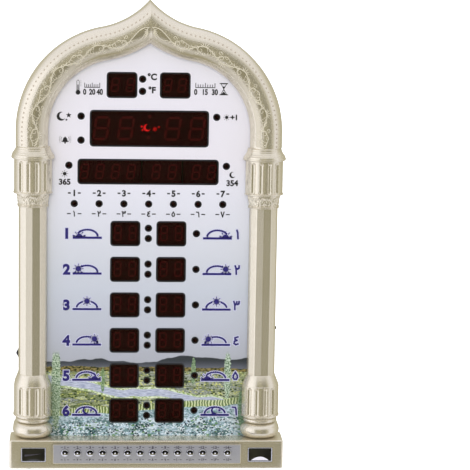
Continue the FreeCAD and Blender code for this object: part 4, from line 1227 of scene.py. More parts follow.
def build_plinth():
    top = BASE_TOP
    loops = []
    for inset, z in plinth_levels():
        outline = rounded_rect(BASE_HIGH.x - inset, BASE_HIGH.y - inset, BASE_EDGE - min(inset, 1.5), 8)
        loops.append([(x, y, z) for x, y in outline])
    plinth = solid("plinth", [lofted(loops)])
    wall_x, wall_y = BASE_HIGH.x - BASE_WALL, BASE_HIGH.y - BASE_WALL
    inside = box_part(-wall_x, wall_x, -wall_y, wall_y, -5.0, top - 2)
    half_w, half_h = PLATE_HALF_W + 0.2, PLATE_HALF_H + 0.2
    recess = box_part(PLATE_MID.x - half_w, PLATE_MID.x + half_w, BASE_FRONT - 1, BASE_FRONT + 1,
                      PLATE_MID.z - half_h, PLATE_MID.z + half_h)
    keys = [rod_part(KEY_HOLE_R, BASE_FRONT - 2, BASE_FRONT + 4, x, KEY_Z) for x in KEY_X]
    eyes = [lofted([facing(shifted(rounded_rect(EYE_HALF_W + 0.12, EYE_HALF_H + 0.12, 1.0), x, EYE_Z), y)
                    for y in (BASE_FRONT - 1, BASE_FRONT + 4)]) for _, x in EYES]
    jack = box_part(JACK_LOW.x, JACK_HIGH.x, BACK - 4, BACK + 1, JACK_LOW.z, JACK_HIGH.z)
    wires = box_part(-16, 16, 5.0, 12.0, top - 4, top + 1)
    carve(plinth, [inside], [recess], keys, eyes, [jack], [wires])
    shade(plinth.data, 30)
    finish_piece(plinth, PAINT, "champagne_paint", "base_plinth")
    bosses = []
    for x in (-BOSS_X, BOSS_X):
        bosses.append(ringed([[(x + a, 4 + b, z) for a, b in circle(radius, 24)] for radius, z in (
            (1.25, BASE_LOW.z + 2), (3.2, BASE_LOW.z + 2), (3.2, top - 1.9), (1.25, top - 1.9))]))
    finish_piece(solid("plinth_bosses", bosses), PAINT, "champagne_paint")


def plate_loops(levels, corner):
    """Outlines of the button plate at (inset, depth)."""
    return [facing(shifted(rounded_rect(PLATE_HALF_W - inset, PLATE_HALF_H - inset, corner - inset),
                           PLATE_MID.x, PLATE_MID.z), y) for inset, y in levels]


def build_plate():
    front = PLATE_LOW.y
    body = lofted(plate_loops([(0.0, PLATE_HIGH.y), (0.0, front + 0.3), (0.32, front)], 0.8))
    plate = solid("button_plate", [body])
    carve(plate, [rod_part(KEY_HOLE_R, front - 1, PLATE_HIGH.y + 1, x, KEY_Z, 40) for x in KEY_X])
    shade(plate.data, 30)
    finish_piece(plate, PLATE, "plate_silver", "button_label_plate")
    # a raised rim round the plate in the lighter paint: real rim, painted highlight along the edge
    edge = ringed(plate_loops([(-0.05, front + 0.3), (-0.05, front - 0.02), (0.4, front - 0.04),
                               (0.4, front + 0.3)], 0.9))
    finish_piece(solid("button_plate_edge", [edge], 30), PAINT_HIGHLIGHT, "plate_silver")


def build_buttons():
    for number, x in enumerate(KEY_X, 1):
        node = "button_%02d" % number
        low, high = box_mm(node)
        front, tail = low.y, high.y
        flange = (high.x - low.x) / 2
        dome = []
        for i in range(1, 13):
            angle = math.radians(DOME_TURN * i / 12)
            dome.append((DOME_BALL * math.sin(angle), front + GLINT_DOT_OUT + DOME_BALL * (1 - math.cos(angle))))
        edge_r, edge_y = dome[-1]
        profile = [(0.0, front + GLINT_DOT_OUT)] + dome
        profile += [(edge_r + (KEY_R - edge_r) * 0.6, edge_y + 0.12), (KEY_R, edge_y + 0.45),
                    (KEY_R, tail - 1.0), (flange, tail - 1.0), (flange, tail), (0.0, tail)]
        piece = solid("push_button_%02d" % number, [turned_y(profile, x, KEY_Z)], 40)
        finish_piece(piece, SMOKED, "bright_plating", node, body=node)
        # painted highlight: a small raised dot in pale ink stands for the glint in the middle of the dome
        glint_dot = [(0.0, front)]
        for turn in (0.5, 1.0, math.pi / 2):
            glint_dot.append((GLINT_DOT_R * math.sin(turn), front + GLINT_DOT_OUT * (1 - math.cos(turn))))
        glint_dot += [(GLINT_DOT_R, front + 0.8), (0.0, front + 0.8)]
        piece = solid("button_pip_%02d" % number, [turned_y(glint_dot, x, KEY_Z, 16)], 60)
        finish_piece(piece, PALE_INK_AND_PAINTED_HIGHLIGHT, "bright_plating", node, body=node)


def right_patch(a):
    """Lower and upper edge of the pale painted reflection on the right pane, over a from -1 to 1."""
    return -0.93, -0.3 - 0.62 * (a / 0.8) ** 2


# lower and upper edge of the grey painted reflection on the left pane
def left_patch(a):
    return -0.02 + 0.3 * a, 0.14 + 0.1 * a


PANE_COLUMNS = 36
PANE_ROWS = 24
REFLECTION_ROWS = 6
PAINTED_REFLECTIONS = {"left": (left_patch, GREY_INK_AND_PAINTED_REFLECTION), "right": (right_patch, PALE_INK_AND_PAINTED_HIGHLIGHT)}


def build_rim(side, x):
    low, high = box_mm(side + "_window_bezel")
    levels = [(0.0, high.y), (0.0, low.y + 0.3), (0.15, low.y + 0.08), (0.3, low.y), (0.45, low.y + 0.08),
              (0.95, low.y + 0.7), (1.0, low.y + 0.8), (1.0, high.y)]
    loops = []
    for inset, y in levels:
        outline = rounded_rect(EYE_HALF_W - inset, EYE_HALF_H - inset, 1.1 - 0.7 * inset)
        loops.append(facing(shifted(outline, x, EYE_Z), y))
    finish_piece(solid(side + "_rim", [ringed(loops)]), STEEL, "bright_plating", side + "_window_bezel")


def build_pane(side, x):
    """A bulging black pane with a painted reflection that follows its surface."""
    low, high = box_mm(side + "_window")
    half_w, half_h = (high.x - low.x) / 2, (high.z - low.z) / 2
    edge_y = BASE_FRONT + 0.1

    def on_pane(a, b, sunk=0.0):
        bulge = (1 - abs(a) ** 2.5) * (1 - b * b)
        return x + a * half_w, edge_y - (edge_y - low.y) * bulge + sunk, EYE_Z + b * half_h

    width = PANE_COLUMNS + 1
    verts = [on_pane(2 * i / PANE_COLUMNS - 1, 2 * j / PANE_ROWS - 1)
             for j in range(PANE_ROWS + 1) for i in range(width)]
    rim = grid_rim(PANE_ROWS + 1, width)
    back = list(range(len(verts), len(verts) + len(rim)))
    verts += [(verts[k][0], high.y, verts[k][2]) for k in rim]
    faces = grid_faces(PANE_ROWS + 1, width) + wall_faces(rim, back) + [tuple(back)]
    finish_piece(solid(side + "_pane", [(verts, faces)], 40), BLACK_GLOSS, "window_black", side + "_window")
    # painted reflection: a thin pale or grey sheet laid on the pane
    painted_light_edges, material = PAINTED_REFLECTIONS[side]
    verts = []
    for sunk in (-0.03, 0.03):
        for row in range(REFLECTION_ROWS + 1):
            for i in range(width):
                a = 1.6 * i / PANE_COLUMNS - 0.8
                low_b, high_b = painted_light_edges(a)
                verts.append(on_pane(a, low_b + (high_b - low_b) * row / REFLECTION_ROWS, sunk))
    half = len(verts) // 2
    rim = grid_rim(REFLECTION_ROWS + 1, width)
    faces = (grid_faces(REFLECTION_ROWS + 1, width) + grid_faces(REFLECTION_ROWS + 1, width, start=half)
             + wall_faces(rim, [half + k for k in rim]))
    reflection_piece = solid(side + "_pane_patch", [(verts, faces)], 40)
    finish_piece(reflection_piece, material, "window_black", side + "_window")


def build_knob():
    """Pointed wedge on the left side; its point stands out in the middle."""
    low, high = box_mm("slide_switch_knob")
    mid = (low + high) / 2
    outer, inner = -COLUMN_X - SHAFT_R - 1.9, high.x
    half = (high.z - low.z) / 2
    section = [(outer, mid.z - 0.3), (outer, mid.z + 0.3), (outer + 1.6, mid.z + half - 0.4),
               (outer + 2.0, mid.z + half), (inner, mid.z + half), (inner, mid.z - half),
               (outer + 2.0, mid.z - half), (outer + 1.6, mid.z - half + 0.4)]
    section = [(min(x, inner), z) for x, z in section]
    loops = [facing(section, y) for y in (low.y + 0.1, high.y - 0.1)]
    finish_piece(solid("switch_thumb_piece", [lofted(loops)], 30), KNOB, "knob_black", "slide_switch_knob",
                 body="switch_knob")


# ---------------------------------------------------------------- clear pane
def pane_outline(inset):
    """Outline of the pane: straight sides, then under the arch."""
    right = [(ARCH_X - inset, BASE_TOP)]
    for i in range(61):
        place, _ = arch_place(HALF_LENGTH * i / 60, inset)
        right.append(place)
    left = [(-x, z) for x, z in right[::-1] if x > 1e-6]
    return right + left


def build_lens():
    outline = pane_outline(LENS_INSET)
    lens = solid("front_pane", [lofted([facing(outline, PANEL_Y), facing(outline, LENS_BACK)])], 30)
    finish_piece(lens, ACRYLIC, "clear_acrylic", "front_lens")


# ---------------------------------------------------------------- windows and lamps of the print, in mm
CLOCK_Z = SPRING_Z + 2.3
TOP_Z = CLOCK_Z + 34.9
DATE_Z = CLOCK_Z - 35
WEEK_Z = DATE_Z - 26.1
WEEK_PITCH = 19.95
ROW_Z = WEEK_Z - 24
ROW_PITCH = (ROW_Z - BASE_TOP - 21.25) / 5
ROW_W = 23.85
ROW_X = 6.675 + ROW_W / 2
CORNER = 2.6
LAMP_R = 2.75
CLOCK_H = 29.0
DATE_H = 20.1
CLOCK_BOX = (0.0, CLOCK_Z, 95.0, CLOCK_H)
DATE_BOX = (-0.6, DATE_Z, 113.0, DATE_H)
TEMP_BOX = (-22.25, TOP_Z, 24.0, 20.3)
COUNT_BOX = (20.3, TOP_Z, 24.0, 20.3)
ROW_BOXES = [(side * ROW_X, ROW_Z - i * ROW_PITCH, ROW_W, 20.25) for i in range(6) for side in (-1, 1)]
WINDOWS = [CLOCK_BOX, DATE_BOX, TEMP_BOX, COUNT_BOX] + ROW_BOXES
LAMPS = [(-5.85, TOP_Z + 4.9), (-5.85, TOP_Z - 4.9), (-54.7, CLOCK_Z + CLOCK_H / 3),
         (-54.7, CLOCK_Z - CLOCK_H / 3), (53.9, CLOCK_Z + CLOCK_H / 3), (-64.3, DATE_Z + DATE_H / 4),
         (62.3, DATE_Z + DATE_H / 4)]
LAMPS += [(k * WEEK_PITCH, WEEK_Z) for k in range(-3, 4)]
for row in range(6):
    LAMPS += [(0.0, ROW_Z - row * ROW_PITCH + up) for up in (4.2, -4.2)]
    LAMPS.append((38.9, ROW_Z - row * ROW_PITCH))
LENS_BACK = PRINT_Y - 0.3
FRAME_Y = PRINT_Y - 0.10         # front of the black frames, of the pale halos and of the signs
HALO_Y = PRINT_Y - 0.055
TEXT_Y = PRINT_Y - 0.12
SLANT = math.tan(math.radians(8))
ROW_SLANT = 0.03


def digit(x, z, width, height, thick, slant):
    """Outlines of the seven bars of one digit."""
    half_w, half_h = width / 2 - thick / 2, height / 2 - thick / 2
    gap, half = 0.18 * thick, thick / 2
    ends = [((-half_w, level), (half_w, level)) for level in (half_h, 0, -half_h)]
    ends += [((side, foot), (side, foot + half_h)) for side in (-half_w, half_w) for foot in (0, -half_h)]
    bars = []
    for (x0, z0), (x1, z1) in ends:
        if z0 == z1:
            near, far = x0 + half + gap, x1 - half - gap
            bar = [(x0 + gap, z0), (near, z0 - half), (far, z0 - half), (x1 - gap, z0), (far, z0 + half),
                   (near, z0 + half)]
        else:
            near, far = z0 + half + gap, z1 - half - gap
            bar = [(x0, z0 + gap), (x0 + half, near), (x0 + half, far), (x0, z1 - gap), (x0 - half, far),
                   (x0 - half, near)]
        bars.append([(x + a + slant * b, z + b) for a, b in bar])
    return bars


def window_ring(box, grow_out, grow_in, y):
    """A flat frame round a window."""
    x, z, w, h = box
    outlines = [shifted(rounded_rect(w / 2 + grow, h / 2 + grow, max(0.3, CORNER + grow)), x, z)
                for grow in (grow_out, grow_in)]
    return flat_ring(*outlines, y)


def lamp_ring(x, z, outer, inner, y):
    return flat_ring(circle(outer, 28, x, z), circle(inner, 28, x, z), y)


def build_window_trim():
    upper = [box for box in WINDOWS if box[1] > WEEK_Z]
    frames = [window_ring(box, 0.35, -0.95, FRAME_Y) for box in upper]
    frames += [window_ring((x, z - 0.25, w, h), 0.2, -1.0, FRAME_Y) for x, z, w, h in ROW_BOXES]
    frames += [lamp_ring(x, z, LAMP_R + 0.25, LAMP_R - 0.85, FRAME_Y) for x, z in LAMPS]
    finish_piece(solid("printed_frames", frames, 0), INK_BLACK, "printed_sheet")
    halos = [window_ring(box, 0.75, 0.1, HALO_Y) for box in upper]
    halos += [lamp_ring(x, z, LAMP_R + 0.5, LAMP_R, HALO_Y) for x, z in LAMPS if z > WEEK_Z - 1]
    finish_piece(solid("printed_halos", halos, 0), PALE_INK_AND_PAINTED_HIGHLIGHT, "printed_sheet")


MODULE_FACE = MODULE_Y + 0.08
# width, height and stroke of each kind of digit
DIGIT_SIZES = {"clock": (12.6, 19.5, 2.1), "date": (6.9, 12.5, 1.25), "top": (6.7, 11.6, 1.25),
               "row": (6.4, 12.9, 1.25)}
ROW_DIGITS = (-24.6, -12.7, 12.7, 24.6)
# middles of the digits of each display, its height and kind
DISPLAYS = {"clock_display": ((-38.4, -18.8, 18.8, 38.2), CLOCK_Z, "clock"),
            "year_display": ((-51.8, -39.4, -26.9, -14.4), DATE_Z, "date"),
            "month_display": ((5.8, 18.8), DATE_Z, "date"), "day_display": ((38.1, 50.5), DATE_Z, "date"),
            "temperature_display": ((-27.6, -15.4), TOP_Z, "top"),
            "countdown_display": ((14.5, 26.0), TOP_Z, "top")}


def module_part(low_x, high_x, low, high):
    """A display body with a chamfered front between two places along x."""
    x, z = (low_x + high_x) / 2, (low.z + high.z) / 2
    half_w, half_h = (high_x - low_x) / 2, (high.z - low.z) / 2
    levels = [(0.0, high.y), (0.0, MODULE_FACE + 0.5), (0.5, MODULE_FACE)]
    return lofted([facing(shifted(rounded_rect(half_w - inset, half_h - inset, 0.6), x, z), y)
                   for inset, y in levels])


def segment_part(outline):
    return flat_part(outline, MODULE_Y + 0.02, 0.08)


def bars_part(places, z, kind):
    slant = ROW_SLANT if kind == "row" else SLANT
    return [segment_part(bar) for x in places for bar in digit(x, z, *DIGIT_SIZES[kind], slant)]


def crescent(x, z, radius, turn):
    """Outline of a crescent whose horns point along turn."""
    outer, inner = [], []
    bite, cx, count = 0.78 * radius, 0.42 * radius, 20
    limit = math.acos((radius ** 2 + cx ** 2 - bite ** 2) / (2 * radius * cx))
    inner_limit = math.atan2(radius * math.sin(limit), radius * math.cos(limit) - cx)
    for i in range(count + 1):
        angle = limit + (2 * math.pi - 2 * limit) * i / count
        outer.append((radius * math.cos(angle), radius * math.sin(angle)))
    for i in range(1, count):
        angle = 2 * math.pi - inner_limit - (2 * math.pi - 2 * inner_limit) * i / count
        inner.append((cx + bite * math.cos(angle), bite * math.sin(angle)))
    made = []
    for a, b in outer + inner:
        made.append((x + a * math.cos(turn) - b * math.sin(turn),
                     z + a * math.sin(turn) + b * math.cos(turn)))
    return made


def star(x, z, radius, points=5, inner=0.45):
    """Outline of a star with a point on top."""
    made = []
    for i in range(2 * points):
        r = radius if i % 2 == 0 else radius * inner
        angle = math.pi / 2 + math.pi * i / points
        made.append((x + r * math.cos(angle), z + r * math.sin(angle)))
    return made


def build_module(node, bodies, bars):
    finish_piece(solid(node + "_body", bodies, 30), MODULE, "display_black", node)
    finish_piece(solid(node + "_bars", bars, 0), SEGMENT, "display_black", node)


def build_displays():
    for node, (places, z, kind) in DISPLAYS.items():
        low, high = box_mm(node)
        bars = bars_part(places, z, kind)
        if kind == "clock":
            bars += [segment_part(circle(1.5, 24, x, z + up)) for x, up in ((0.1, 9.6), (-0.6, -7.4))]
        build_module(node, [module_part(low.x, high.x, low, high)], bars)
    for i in range(6):
        node = "prayer_%d_display" % (i + 1)
        low, high = box_mm(node)
        inner = 2 * ROW_X - high.x
        halves = [module_part(-high.x, -inner, low, high), module_part(inner, high.x, low, high)]
        build_module(node, halves, bars_part(ROW_DIGITS, (low.z + high.z) / 2, "row"))
    # a small emblem of a crescent and dots in the middle of the main window
    lit = [crescent(-1.9, CLOCK_Z + 0.6, 2.9, 0.5), circle(0.8, 20, -6.2, CLOCK_Z + 1.6),
           circle(0.7, 20, -5.6, CLOCK_Z - 1.2)]
    dim = [star(4.4, CLOCK_Z - 0.4, 2.3, 6, 0.5), circle(0.8, 20, 7.6, CLOCK_Z + 1.2)]
    for name, outlines, material in (("lit", lit, GLOW), ("dim", dim, GLOW_DIM)):
        parts = [flat_part(outline, MODULE_Y + 0.01, 0.06) for outline in outlines]
        finish_piece(solid("clock_emblem_" + name, parts, 0), material, "led_red")


def build_lamps():
    """Round-nosed lamps behind the sheet."""
    low, high = box_mm("indicator_leds")
    radius = LAMP_R - 0.25
    profile = [(0.0, low.y)]
    for i in range(1, 7):
        angle = math.pi / 2 * i / 6
        profile.append((radius * math.sin(angle), low.y + 1.5 * (1 - math.cos(angle))))
    profile += [(radius, high.y), (0.0, high.y)]
    piece = solid("indicator_lamps", [turned_y(profile, x, z, 20) for x, z in LAMPS], 40)
    finish_piece(piece, LED, "led_red", "indicator_leds")


# ---------------------------------------------------------------- printed signs
CAP_HEIGHT = 0.72        # height of a numeral of the default font at size 1


def text_part(body, x, z, height, bold, y=TEXT_Y, squeeze=1.0):
    """Raised numerals centred on x, z; bold widens every stroke, in mm."""
    scale = height / CAP_HEIGHT
    curve = bpy.data.curves.new("text", "FONT")
    curve.body = body
    curve.resolution_u = 5
    curve.extrude = 0.5
    curve.offset = bold / scale
    temp = new_object("text", curve)
    made = bpy.data.meshes.new_from_object(temp.evaluated_get(bpy.context.evaluated_depsgraph_get()))
    bpy.data.objects.remove(temp)
    coords = np.array([v.co for v in made.vertices])
    mid = (coords.min(axis=0) + coords.max(axis=0)) / 2
    verts = [(x + (c[0] - mid[0]) * scale * squeeze, y + (0.5 - c[2]) * PRINT_T, z + (c[1] - mid[1]) * scale)
             for c in coords]
    return verts, [tuple(face.vertices) for face in made.polygons]


def disc(x, z, radius, y=TEXT_Y, count=24):
    return flat_part(circle(radius, count, x, z), y)


def stroke_part(x0, z0, x1, z1, half, y=TEXT_Y):
    """A straight bar with square ends."""
    start, end = Vector((x0, z0)), Vector((x1, z1))
    along = (end - start).normalized() * half
    side = Vector((-along.y, along.x))
    points = [start - along + side, start - along - side, end + along - side, end + along + side]
    return flat_part([(p.x, p.y) for p in points], y)


def sun_sign(x, z, radius, grow=0.0, y=TEXT_Y, low=0, high=360, rays=8):
    """A disc with rays between two angles in degrees."""
    if high - low < 360:
        turns = [math.radians(turn) for turn in sweep(16, low, high - low)]
        reach = radius + grow
        outline = [(x + reach * math.cos(turn), z + reach * math.sin(turn)) for turn in turns]
        parts = [flat_part(outline, y)]
        turns = [low + (high - low) * (i + 0.5) / rays for i in range(rays)]
    else:
        parts = [disc(x, z, radius + grow, y)]
        turns = [360 * i / rays for i in range(rays)]
    for turn in turns:
        a, b = math.cos(math.radians(turn)), math.sin(math.radians(turn))
        parts.append(stroke_part(x + 1.42 * radius * a, z + 1.42 * radius * b, x + 1.8 * radius * a,
                                 z + 1.8 * radius * b, 0.13 * radius + grow, y))
    return parts


SUN_STAGES = (180, 148, 90, 42, 0, None)
ARC_REACH = 8.4
ARC_TALL = 5.6
HORIZON = 10.8


def day_arc(x, z, stage, grow, y, hand=1):
    """The sun's way over the horizon with the sun at one stage of the day; the last stage is night."""
    foot = z - 3.4
    parts = [stroke_part(x - HORIZON, foot, x + HORIZON, foot, 0.9 + grow, y)]
    turn = SUN_STAGES[stage]

    def on_arc(degrees):
        angle = math.radians(degrees)
        return x + hand * ARC_REACH * math.cos(angle), foot + 1.0 + ARC_TALL * math.sin(angle)

    for i, angle in enumerate(sweep(16, 12, 156)):
        if turn is None or abs(angle - turn) > 24:
            parts.append(disc(*on_arc(angle), 0.85 + grow, y + 0.0005 * i, 14))
    if turn is None:
        parts.append(flat_part(crescent(x - 0.6, foot + 3.6, 2.7 + grow, 0.35), y))
        parts.append(flat_part(star(x + 3.8, foot + 3.9, 1.7 + grow), y))
    elif turn in (0, 180):
        parts += sun_sign(x + hand * 6.6 * math.cos(math.radians(turn)), foot + 0.4, 2.8, grow, y, 0, 180, 5)
    else:
        parts += sun_sign(*on_arc(turn), 2.2, grow, y)
    return parts


# strokes of the eastern numerals in a cell one unit tall, centred
EASTERN = {"0": [[(-0.05, 0.0), (0.05, 0.0)]],
           "1": [[(-0.1, 0.5), (0.0, 0.2), (0.04, -0.5)]],
           "2": [[(-0.24, 0.5), (-0.12, 0.2), (-0.1, -0.5)],
                 [(-0.14, 0.22), (0.08, 0.14), (0.22, 0.26), (0.24, 0.5)]],
           "3": [[(-0.34, 0.5), (-0.22, 0.2), (-0.2, -0.5)],
                 [(-0.24, 0.22), (-0.08, 0.14), (0.02, 0.24), (0.03, 0.46)],
                 [(0.02, 0.24), (0.16, 0.14), (0.3, 0.24), (0.32, 0.5)]],
           "4": [[(0.24, 0.5), (-0.12, 0.38), (-0.1, 0.18), (0.12, 0.06), (-0.18, -0.08), (-0.22, -0.34),
                  (0.0, -0.48), (0.26, -0.4)]],
           "5": [[(0.0, 0.46), (0.24, 0.06), (0.26, -0.22), (0.12, -0.42), (-0.12, -0.42), (-0.26, -0.22),
                  (-0.24, 0.06), (0.0, 0.46)]],
           "6": [[(-0.3, 0.48), (0.08, 0.44), (0.16, 0.2), (0.2, -0.5)]],
           "7": [[(-0.3, 0.5), (0.0, -0.5), (0.3, 0.5)]],
           "8": [[(-0.3, -0.5), (0.0, 0.5), (0.3, -0.5)]],
           "9": [[(0.18, 0.08), (-0.14, 0.06), (-0.2, 0.3), (0.0, 0.5), (0.18, 0.34), (0.22, -0.5)]]}


def eastern(number, x, z, height, half, y=TEXT_Y):
    """An eastern numeral drawn with round-ended strokes of the given half width."""
    body = str(number)
    tall = height / 2 - half
    parts = []
    for place, sign in enumerate(body):
        middle = x + (place - (len(body) - 1) / 2) * 0.62 * height
        for stroke in EASTERN[sign]:
            points = [(middle + 2 * a * tall, z + 2 * b * tall) for a, b in stroke]
            for a, b in zip(points, points[1:]):
                depth = y + 0.001 * (len(parts) + 1)
                parts += [stroke_part(*a, *b, half, depth), disc(*b, half, depth + 0.0005, 12)]
    return parts


def row_signs(grow, y):
    """Large signs on both sides of each row."""
    parts = []
    for i in range(6):
        z = ROW_Z - i * ROW_PITCH - 0.4
        parts.append(text_part(str(i + 1), -65.8, z, 8.2, 0.6 + grow, y))
        parts += day_arc(-49.2, z, i, grow, y)
        parts += day_arc(56.0, z, i, grow, y, -1)
        parts += eastern(i + 1, 72.4, z, 8.0 + 2 * grow, 0.72 + grow, y)
    return parts


def thermometer_sign(x, z):
    tube = [shifted(rounded_rect(half_w, half_h, half_w - 0.02), x, z + 1.4)
            for half_w, half_h in ((1.15, 4.6), (0.75, 4.2))]
    ticks = [stroke_part(x + 2.0, z + 1.2 + 1.3 * i, x + 2.5, z + 1.2 + 1.3 * i, 0.14) for i in range(4)]
    column = stroke_part(x, z - 2.4, x, z + 1.8, 0.38)
    return [flat_ring(*tube, TEXT_Y), disc(x, z - 4.0, 1.9), column] + ticks


def hourglass_sign(x, z):
    parts = [stroke_part(x - 3.0, z + side * 4.5, x + 3.0, z + side * 4.5, 0.36) for side in (-1, 1)]
    for side in (-1, 1):
        outer = [(x - 2.6, z + side * 4.3), (x + 2.6, z + side * 4.3), (x, z - side * 0.35)]
        inner = [(x - 1.9, z + side * 3.95), (x + 1.9, z + side * 3.95), (x, z + side * 0.75)]
        parts.append(flat_ring(outer, inner, TEXT_Y))
    for half, base, tip in ((1.7, -3.9, -2.0), (0.9, 2.1, 0.8)):
        parts.append(flat_part([(x - half, z + base), (x + half, z + base), (x, z + tip)], TEXT_Y))
    return parts


def bell_sign(x, z):
    outline = [(x - 2.5, z - 1.6)]
    outline += [(x + 1.65 * math.cos(turn), z + 0.6 + 1.6 * math.sin(turn))
                for turn in sweep(12, math.pi, -math.pi)]
    outline.append((x + 2.5, z - 1.6))
    waves = []
    for side in (-1, 1):
        for reach in (3.3, 4.6):
            for turn in sweep(4, math.radians(-30), math.radians(60)):
                waves.append(disc(x + side * reach * math.cos(turn), z + 0.5 + reach * math.sin(turn), 0.3,
                                  TEXT_Y, 10))
    return [flat_part(outline, TEXT_Y), disc(x, z - 2.2, 0.7), disc(x, z + 2.3, 0.45)] + waves


def scale_sign(x, z, width, numbers):
    """A short graduated scale with its numbers below."""
    left = x - width / 2
    parts = [stroke_part(left, z + 1.2, x + width / 2, z + 1.2, 0.28)]
    for i in range(9):
        a = left + width * i / 8
        parts.append(stroke_part(a, z + 1.3, a, z + (4.6 if i % 4 == 0 else 3.4), 0.26))
    for i, number in enumerate(numbers):
        place = left + width * i / (len(numbers) - 1)
        parts.append(text_part(number, place, z - 2.4, 4.4, 0.26, squeeze=0.8))
    return parts


# numbers and units: words, x, z, height and extra width of the strokes
PRINTED_TEXTS = [("°C", 1.8, 319.1, 4.9, 0.3), ("°F", 1.8, 308.5, 4.9, 0.3),
                 ("+1", 67.6, 287.0, 4.2, 0.26), ("365", -67.6, 233.9, 4.6, 0.26),
                 ("354", 67.3, 233.7, 4.6, 0.26)]


def dashes(x, z, near, far, half, y=TEXT_Y):
    """A short bar on each side of a numeral."""
    return [stroke_part(x + side * near, z, x + side * far, z, half, y) for side in (-1, 1)]


def black_signs():
    parts = thermometer_sign(-57.3, 310.0) + hourglass_sign(59.2, 309.7)
    parts += scale_sign(-46.0, 308.9, 12.0, ("0", "20", "40"))
    parts += scale_sign(44.4, 309.6, 15.4, ("0", "15", "30"))
    parts += [text_part(*row) for row in PRINTED_TEXTS]
    outlines = [crescent(-70.6, 286.7, 3.6, 0.35), star(-64.6, 287.6, 2.3), star(-66.4, 283.9, 1.1),
                crescent(67.3, 240.3, 2.5, 0.35)]
    parts += [flat_part(outline, TEXT_Y) for outline in outlines]
    parts += bell_sign(-67.4, 267.6) + sun_sign(61.9, 287.0, 1.35) + sun_sign(-67.6, 240.4, 1.5)
    upper, lower = WEEK_Z + 8.6, WEEK_Z - 8.2
    for k in range(7):
        x = (k - 3) * WEEK_PITCH
        parts.append(text_part(str(k + 1), x, upper, 4.9, 0.3))
        parts += eastern(k + 1, x, lower, 4.8, 0.44)
        parts += dashes(x, upper, 3.4, 4.6, 0.55) + dashes(x, lower, 3.2, 5.4, 0.42)
    return parts


def build_signs():
    finish_piece(solid("printed_signs_black", black_signs(), 0), INK_BLACK, "printed_sheet")
    finish_piece(solid("printed_signs_navy", row_signs(0.0, TEXT_Y), 0), INK_NAVY, "printed_sheet")
    finish_piece(solid("printed_signs_glow", row_signs(0.55, HALO_Y - 0.005), 0), INK_LILAC, "printed_sheet")
    numerals = []
    y, upper, lower = PLATE_LOW.y - 0.02, KEY_Z + 4.5, KEY_Z - 5.8
    for i, x in enumerate(KEY_X, 1):
        numerals.append(text_part(str(i), x, upper, 2.0, 0.1, y, 1.2))
        numerals += eastern(i, x, lower, 2.1, 0.2, y)
        numerals += dashes(x, upper, 1.9, 3.1, 0.24, y) + dashes(x, lower, 1.9, 3.1, 0.24, y)
    finish_piece(solid("button_numerals", numerals, 0), GREY_INK_AND_PAINTED_REFLECTION, "plate_silver")


build_arch()
build_column("column_right", "right_column", 1)
build_column("column_left", "left_column", -1)
build_plinth()
build_plate()
build_buttons()
for eye_side, eye_x in EYES:
    build_rim(eye_side, eye_x)
    build_pane(eye_side, eye_x)
build_knob()
build_lens()
build_window_trim()
build_displays()
build_lamps()
build_signs()


# ---------------------------------------------------------------- stage, light and camera
def stage_quad(name, corners, material):
    """A four-cornered sheet of the stage, in metres."""
    mesh = bpy.data.meshes.new(name)
    mesh.from_pydata(corners, [], [(0, 1, 2, 3)])
    quad = new_object(name, mesh)
    quad.data.materials.append(material)
    quad.visible_diffuse = False
    return quad


def build_black_card():
    """A black card just in front of the buttons that only mirrors see."""
    half_w, y, low, high = KEY_X[-1] + 11, BASE_FRONT - 14, KEY_Z - 5.2, KEY_Z + 5.9
    corners = [(-half_w, y, low), (half_w, y, low), (half_w, y, high), (-half_w, y, high)]
    card = stage_quad("black_card", [tuple(c * MM for c in corner) for corner in corners], BEAD)
    card.visible_camera = False
    card.visible_transmission = False
    card.visible_shadow = False


def build_floor():
    half = 15.0
    material, tree, shader = new_material("floor_white")
    colour = two_tones(tree, noise_node(tree, 40.0), (0.84, 0.84, 0.84), (0.86, 0.86, 0.86))
    tree.links.new(colour, shader.inputs["Base Color"])
    shader.inputs["Roughness"].default_value = 0.9
    shader.inputs["Specular IOR Level"].default_value = 0.1
    shader.inputs["Emission Color"].default_value = (1, 1, 1, 1)
    shader.inputs["Emission Strength"].default_value = 0.9
    corners = [(-half, -half, 0), (half, -half, 0), (half, half, 0), (-half, half, 0)]
    floor = stage_quad("floor", corners, material)
    floor.visible_glossy = False


# brightness of the studio by the compass, in degrees from the front, positive towards +X
STUDIO = [(-180, 0.5), (-125, 0.6), (-104, 0.92), (-88, 1.35), (-50, 1.35), (-36, 1.25), (-30, 0.9),
          (-28, 0.14), (-18, 0.2), (-4, 0.3), (6, 0.22), (14, 0.15), (32, 0.14), (45, 0.45), (58, 0.95),
          (80, 1.0), (98, 0.68), (130, 0.52), (180, 0.5)]
# overhead, table and right below: heights on the sphere where each begins and is full, and its brightness
CAPS = [(0.34, 0.7, 1.0), (-0.5, -0.66, 0.95), (-0.82, -0.93, 0.42)]


def studio_colour(value):
    """A cool white where bright and olive where dark."""
    warm = min(1.0, max(0.0, (0.95 - value) / 0.6))
    return (value, value * (1.01 - 0.08 * warm), value * (1.16 - 0.64 * warm))


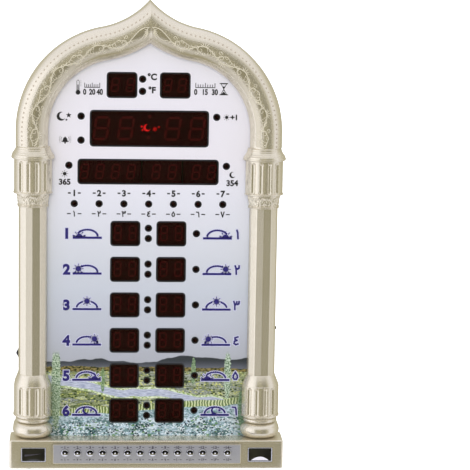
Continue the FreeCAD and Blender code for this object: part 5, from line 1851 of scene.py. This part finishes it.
def build_world():
    """A studio for mirrors and light; the camera itself sees white."""
    world = bpy.data.worlds.new("studio")
    scene.world = world
    world.use_nodes = True
    tree = world.node_tree
    coords = tree.nodes.new("ShaderNodeTexCoord")
    split = tree.nodes.new("ShaderNodeSeparateXYZ")
    tree.links.new(coords.outputs["Generated"], split.inputs["Vector"])
    turn = math_node(tree, "MULTIPLY", split.outputs["Y"], -1.0)
    compass = math_node(tree, "ARCTAN2", split.outputs["X"], turn)
    share = tree.nodes.new("ShaderNodeMapRange")
    share.inputs["From Min"].default_value = -math.pi
    share.inputs["From Max"].default_value = math.pi
    tree.links.new(compass, share.inputs["Value"])
    ramp = ramp_node(tree, share.outputs["Result"],
                     [((a + 180) / 360, studio_colour(v)) for a, v in STUDIO])
    ramp.color_ramp.interpolation = "EASE"
    mirrored = ramp.outputs["Color"]
    for begin, full, value in CAPS:
        cap = eased(tree, split.outputs["Z"], begin, full)
        mirrored = mix_colours(tree, cap, mirrored, studio_colour(value))
    paths = tree.nodes.new("ShaderNodeLightPath")
    seen = mix_colours(tree, paths.outputs["Is Camera Ray"], mirrored, (1, 1, 1))
    tree.links.new(seen, tree.nodes["Background"].inputs["Color"])


CAMERA_PLACE = Vector((-0.049065, -1.742314, 0.481797))
CAMERA_YAW = 0.06829
CAMERA_PITCH = -0.1647
CAMERA_ROLL = 0.017
CAMERA_LENS = 167.45


def build_camera():
    camera = new_object("camera", bpy.data.cameras.new("camera"))
    level = math.cos(CAMERA_PITCH)
    ahead = Vector((math.sin(CAMERA_YAW) * level, math.cos(CAMERA_YAW) * level, math.sin(CAMERA_PITCH)))
    right = Vector((math.cos(CAMERA_YAW), -math.sin(CAMERA_YAW), 0))
    up = right.cross(ahead)
    tilted_right = math.cos(CAMERA_ROLL) * right + math.sin(CAMERA_ROLL) * up
    tilted_up = -math.sin(CAMERA_ROLL) * right + math.cos(CAMERA_ROLL) * up
    matrix = Matrix((tilted_right, tilted_up, -ahead)).transposed().to_4x4()
    matrix.translation = CAMERA_PLACE
    camera.matrix_world = matrix
    camera.data.lens = CAMERA_LENS
    camera.data.sensor_width = 36
    camera.data.clip_start = 0.05
    camera.data.clip_end = 60
    scene.camera = camera


KEY_PLACE = Vector((-0.2, -2.5, 0.9))
KEY_TARGET = Vector((0, 0, 0.2))
KEY_POWER = 40.0


def build_light():
    """A soft panel of light in front that polished faces don't mirror."""
    data = bpy.data.lights.new("front_light", "AREA")
    data.shape = "RECTANGLE"
    data.size, data.size_y = 2.2, 1.6
    data.energy = KEY_POWER
    data.color = (0.93, 0.92, 0.83)
    light = new_object("front_light", data)
    light.location = KEY_PLACE
    light.rotation_euler = (KEY_TARGET - KEY_PLACE).to_track_quat("-Z", "Y").to_euler()
    light.visible_glossy = False
    light.visible_camera = False


build_black_card()
build_floor()
build_world()
build_light()
build_camera()
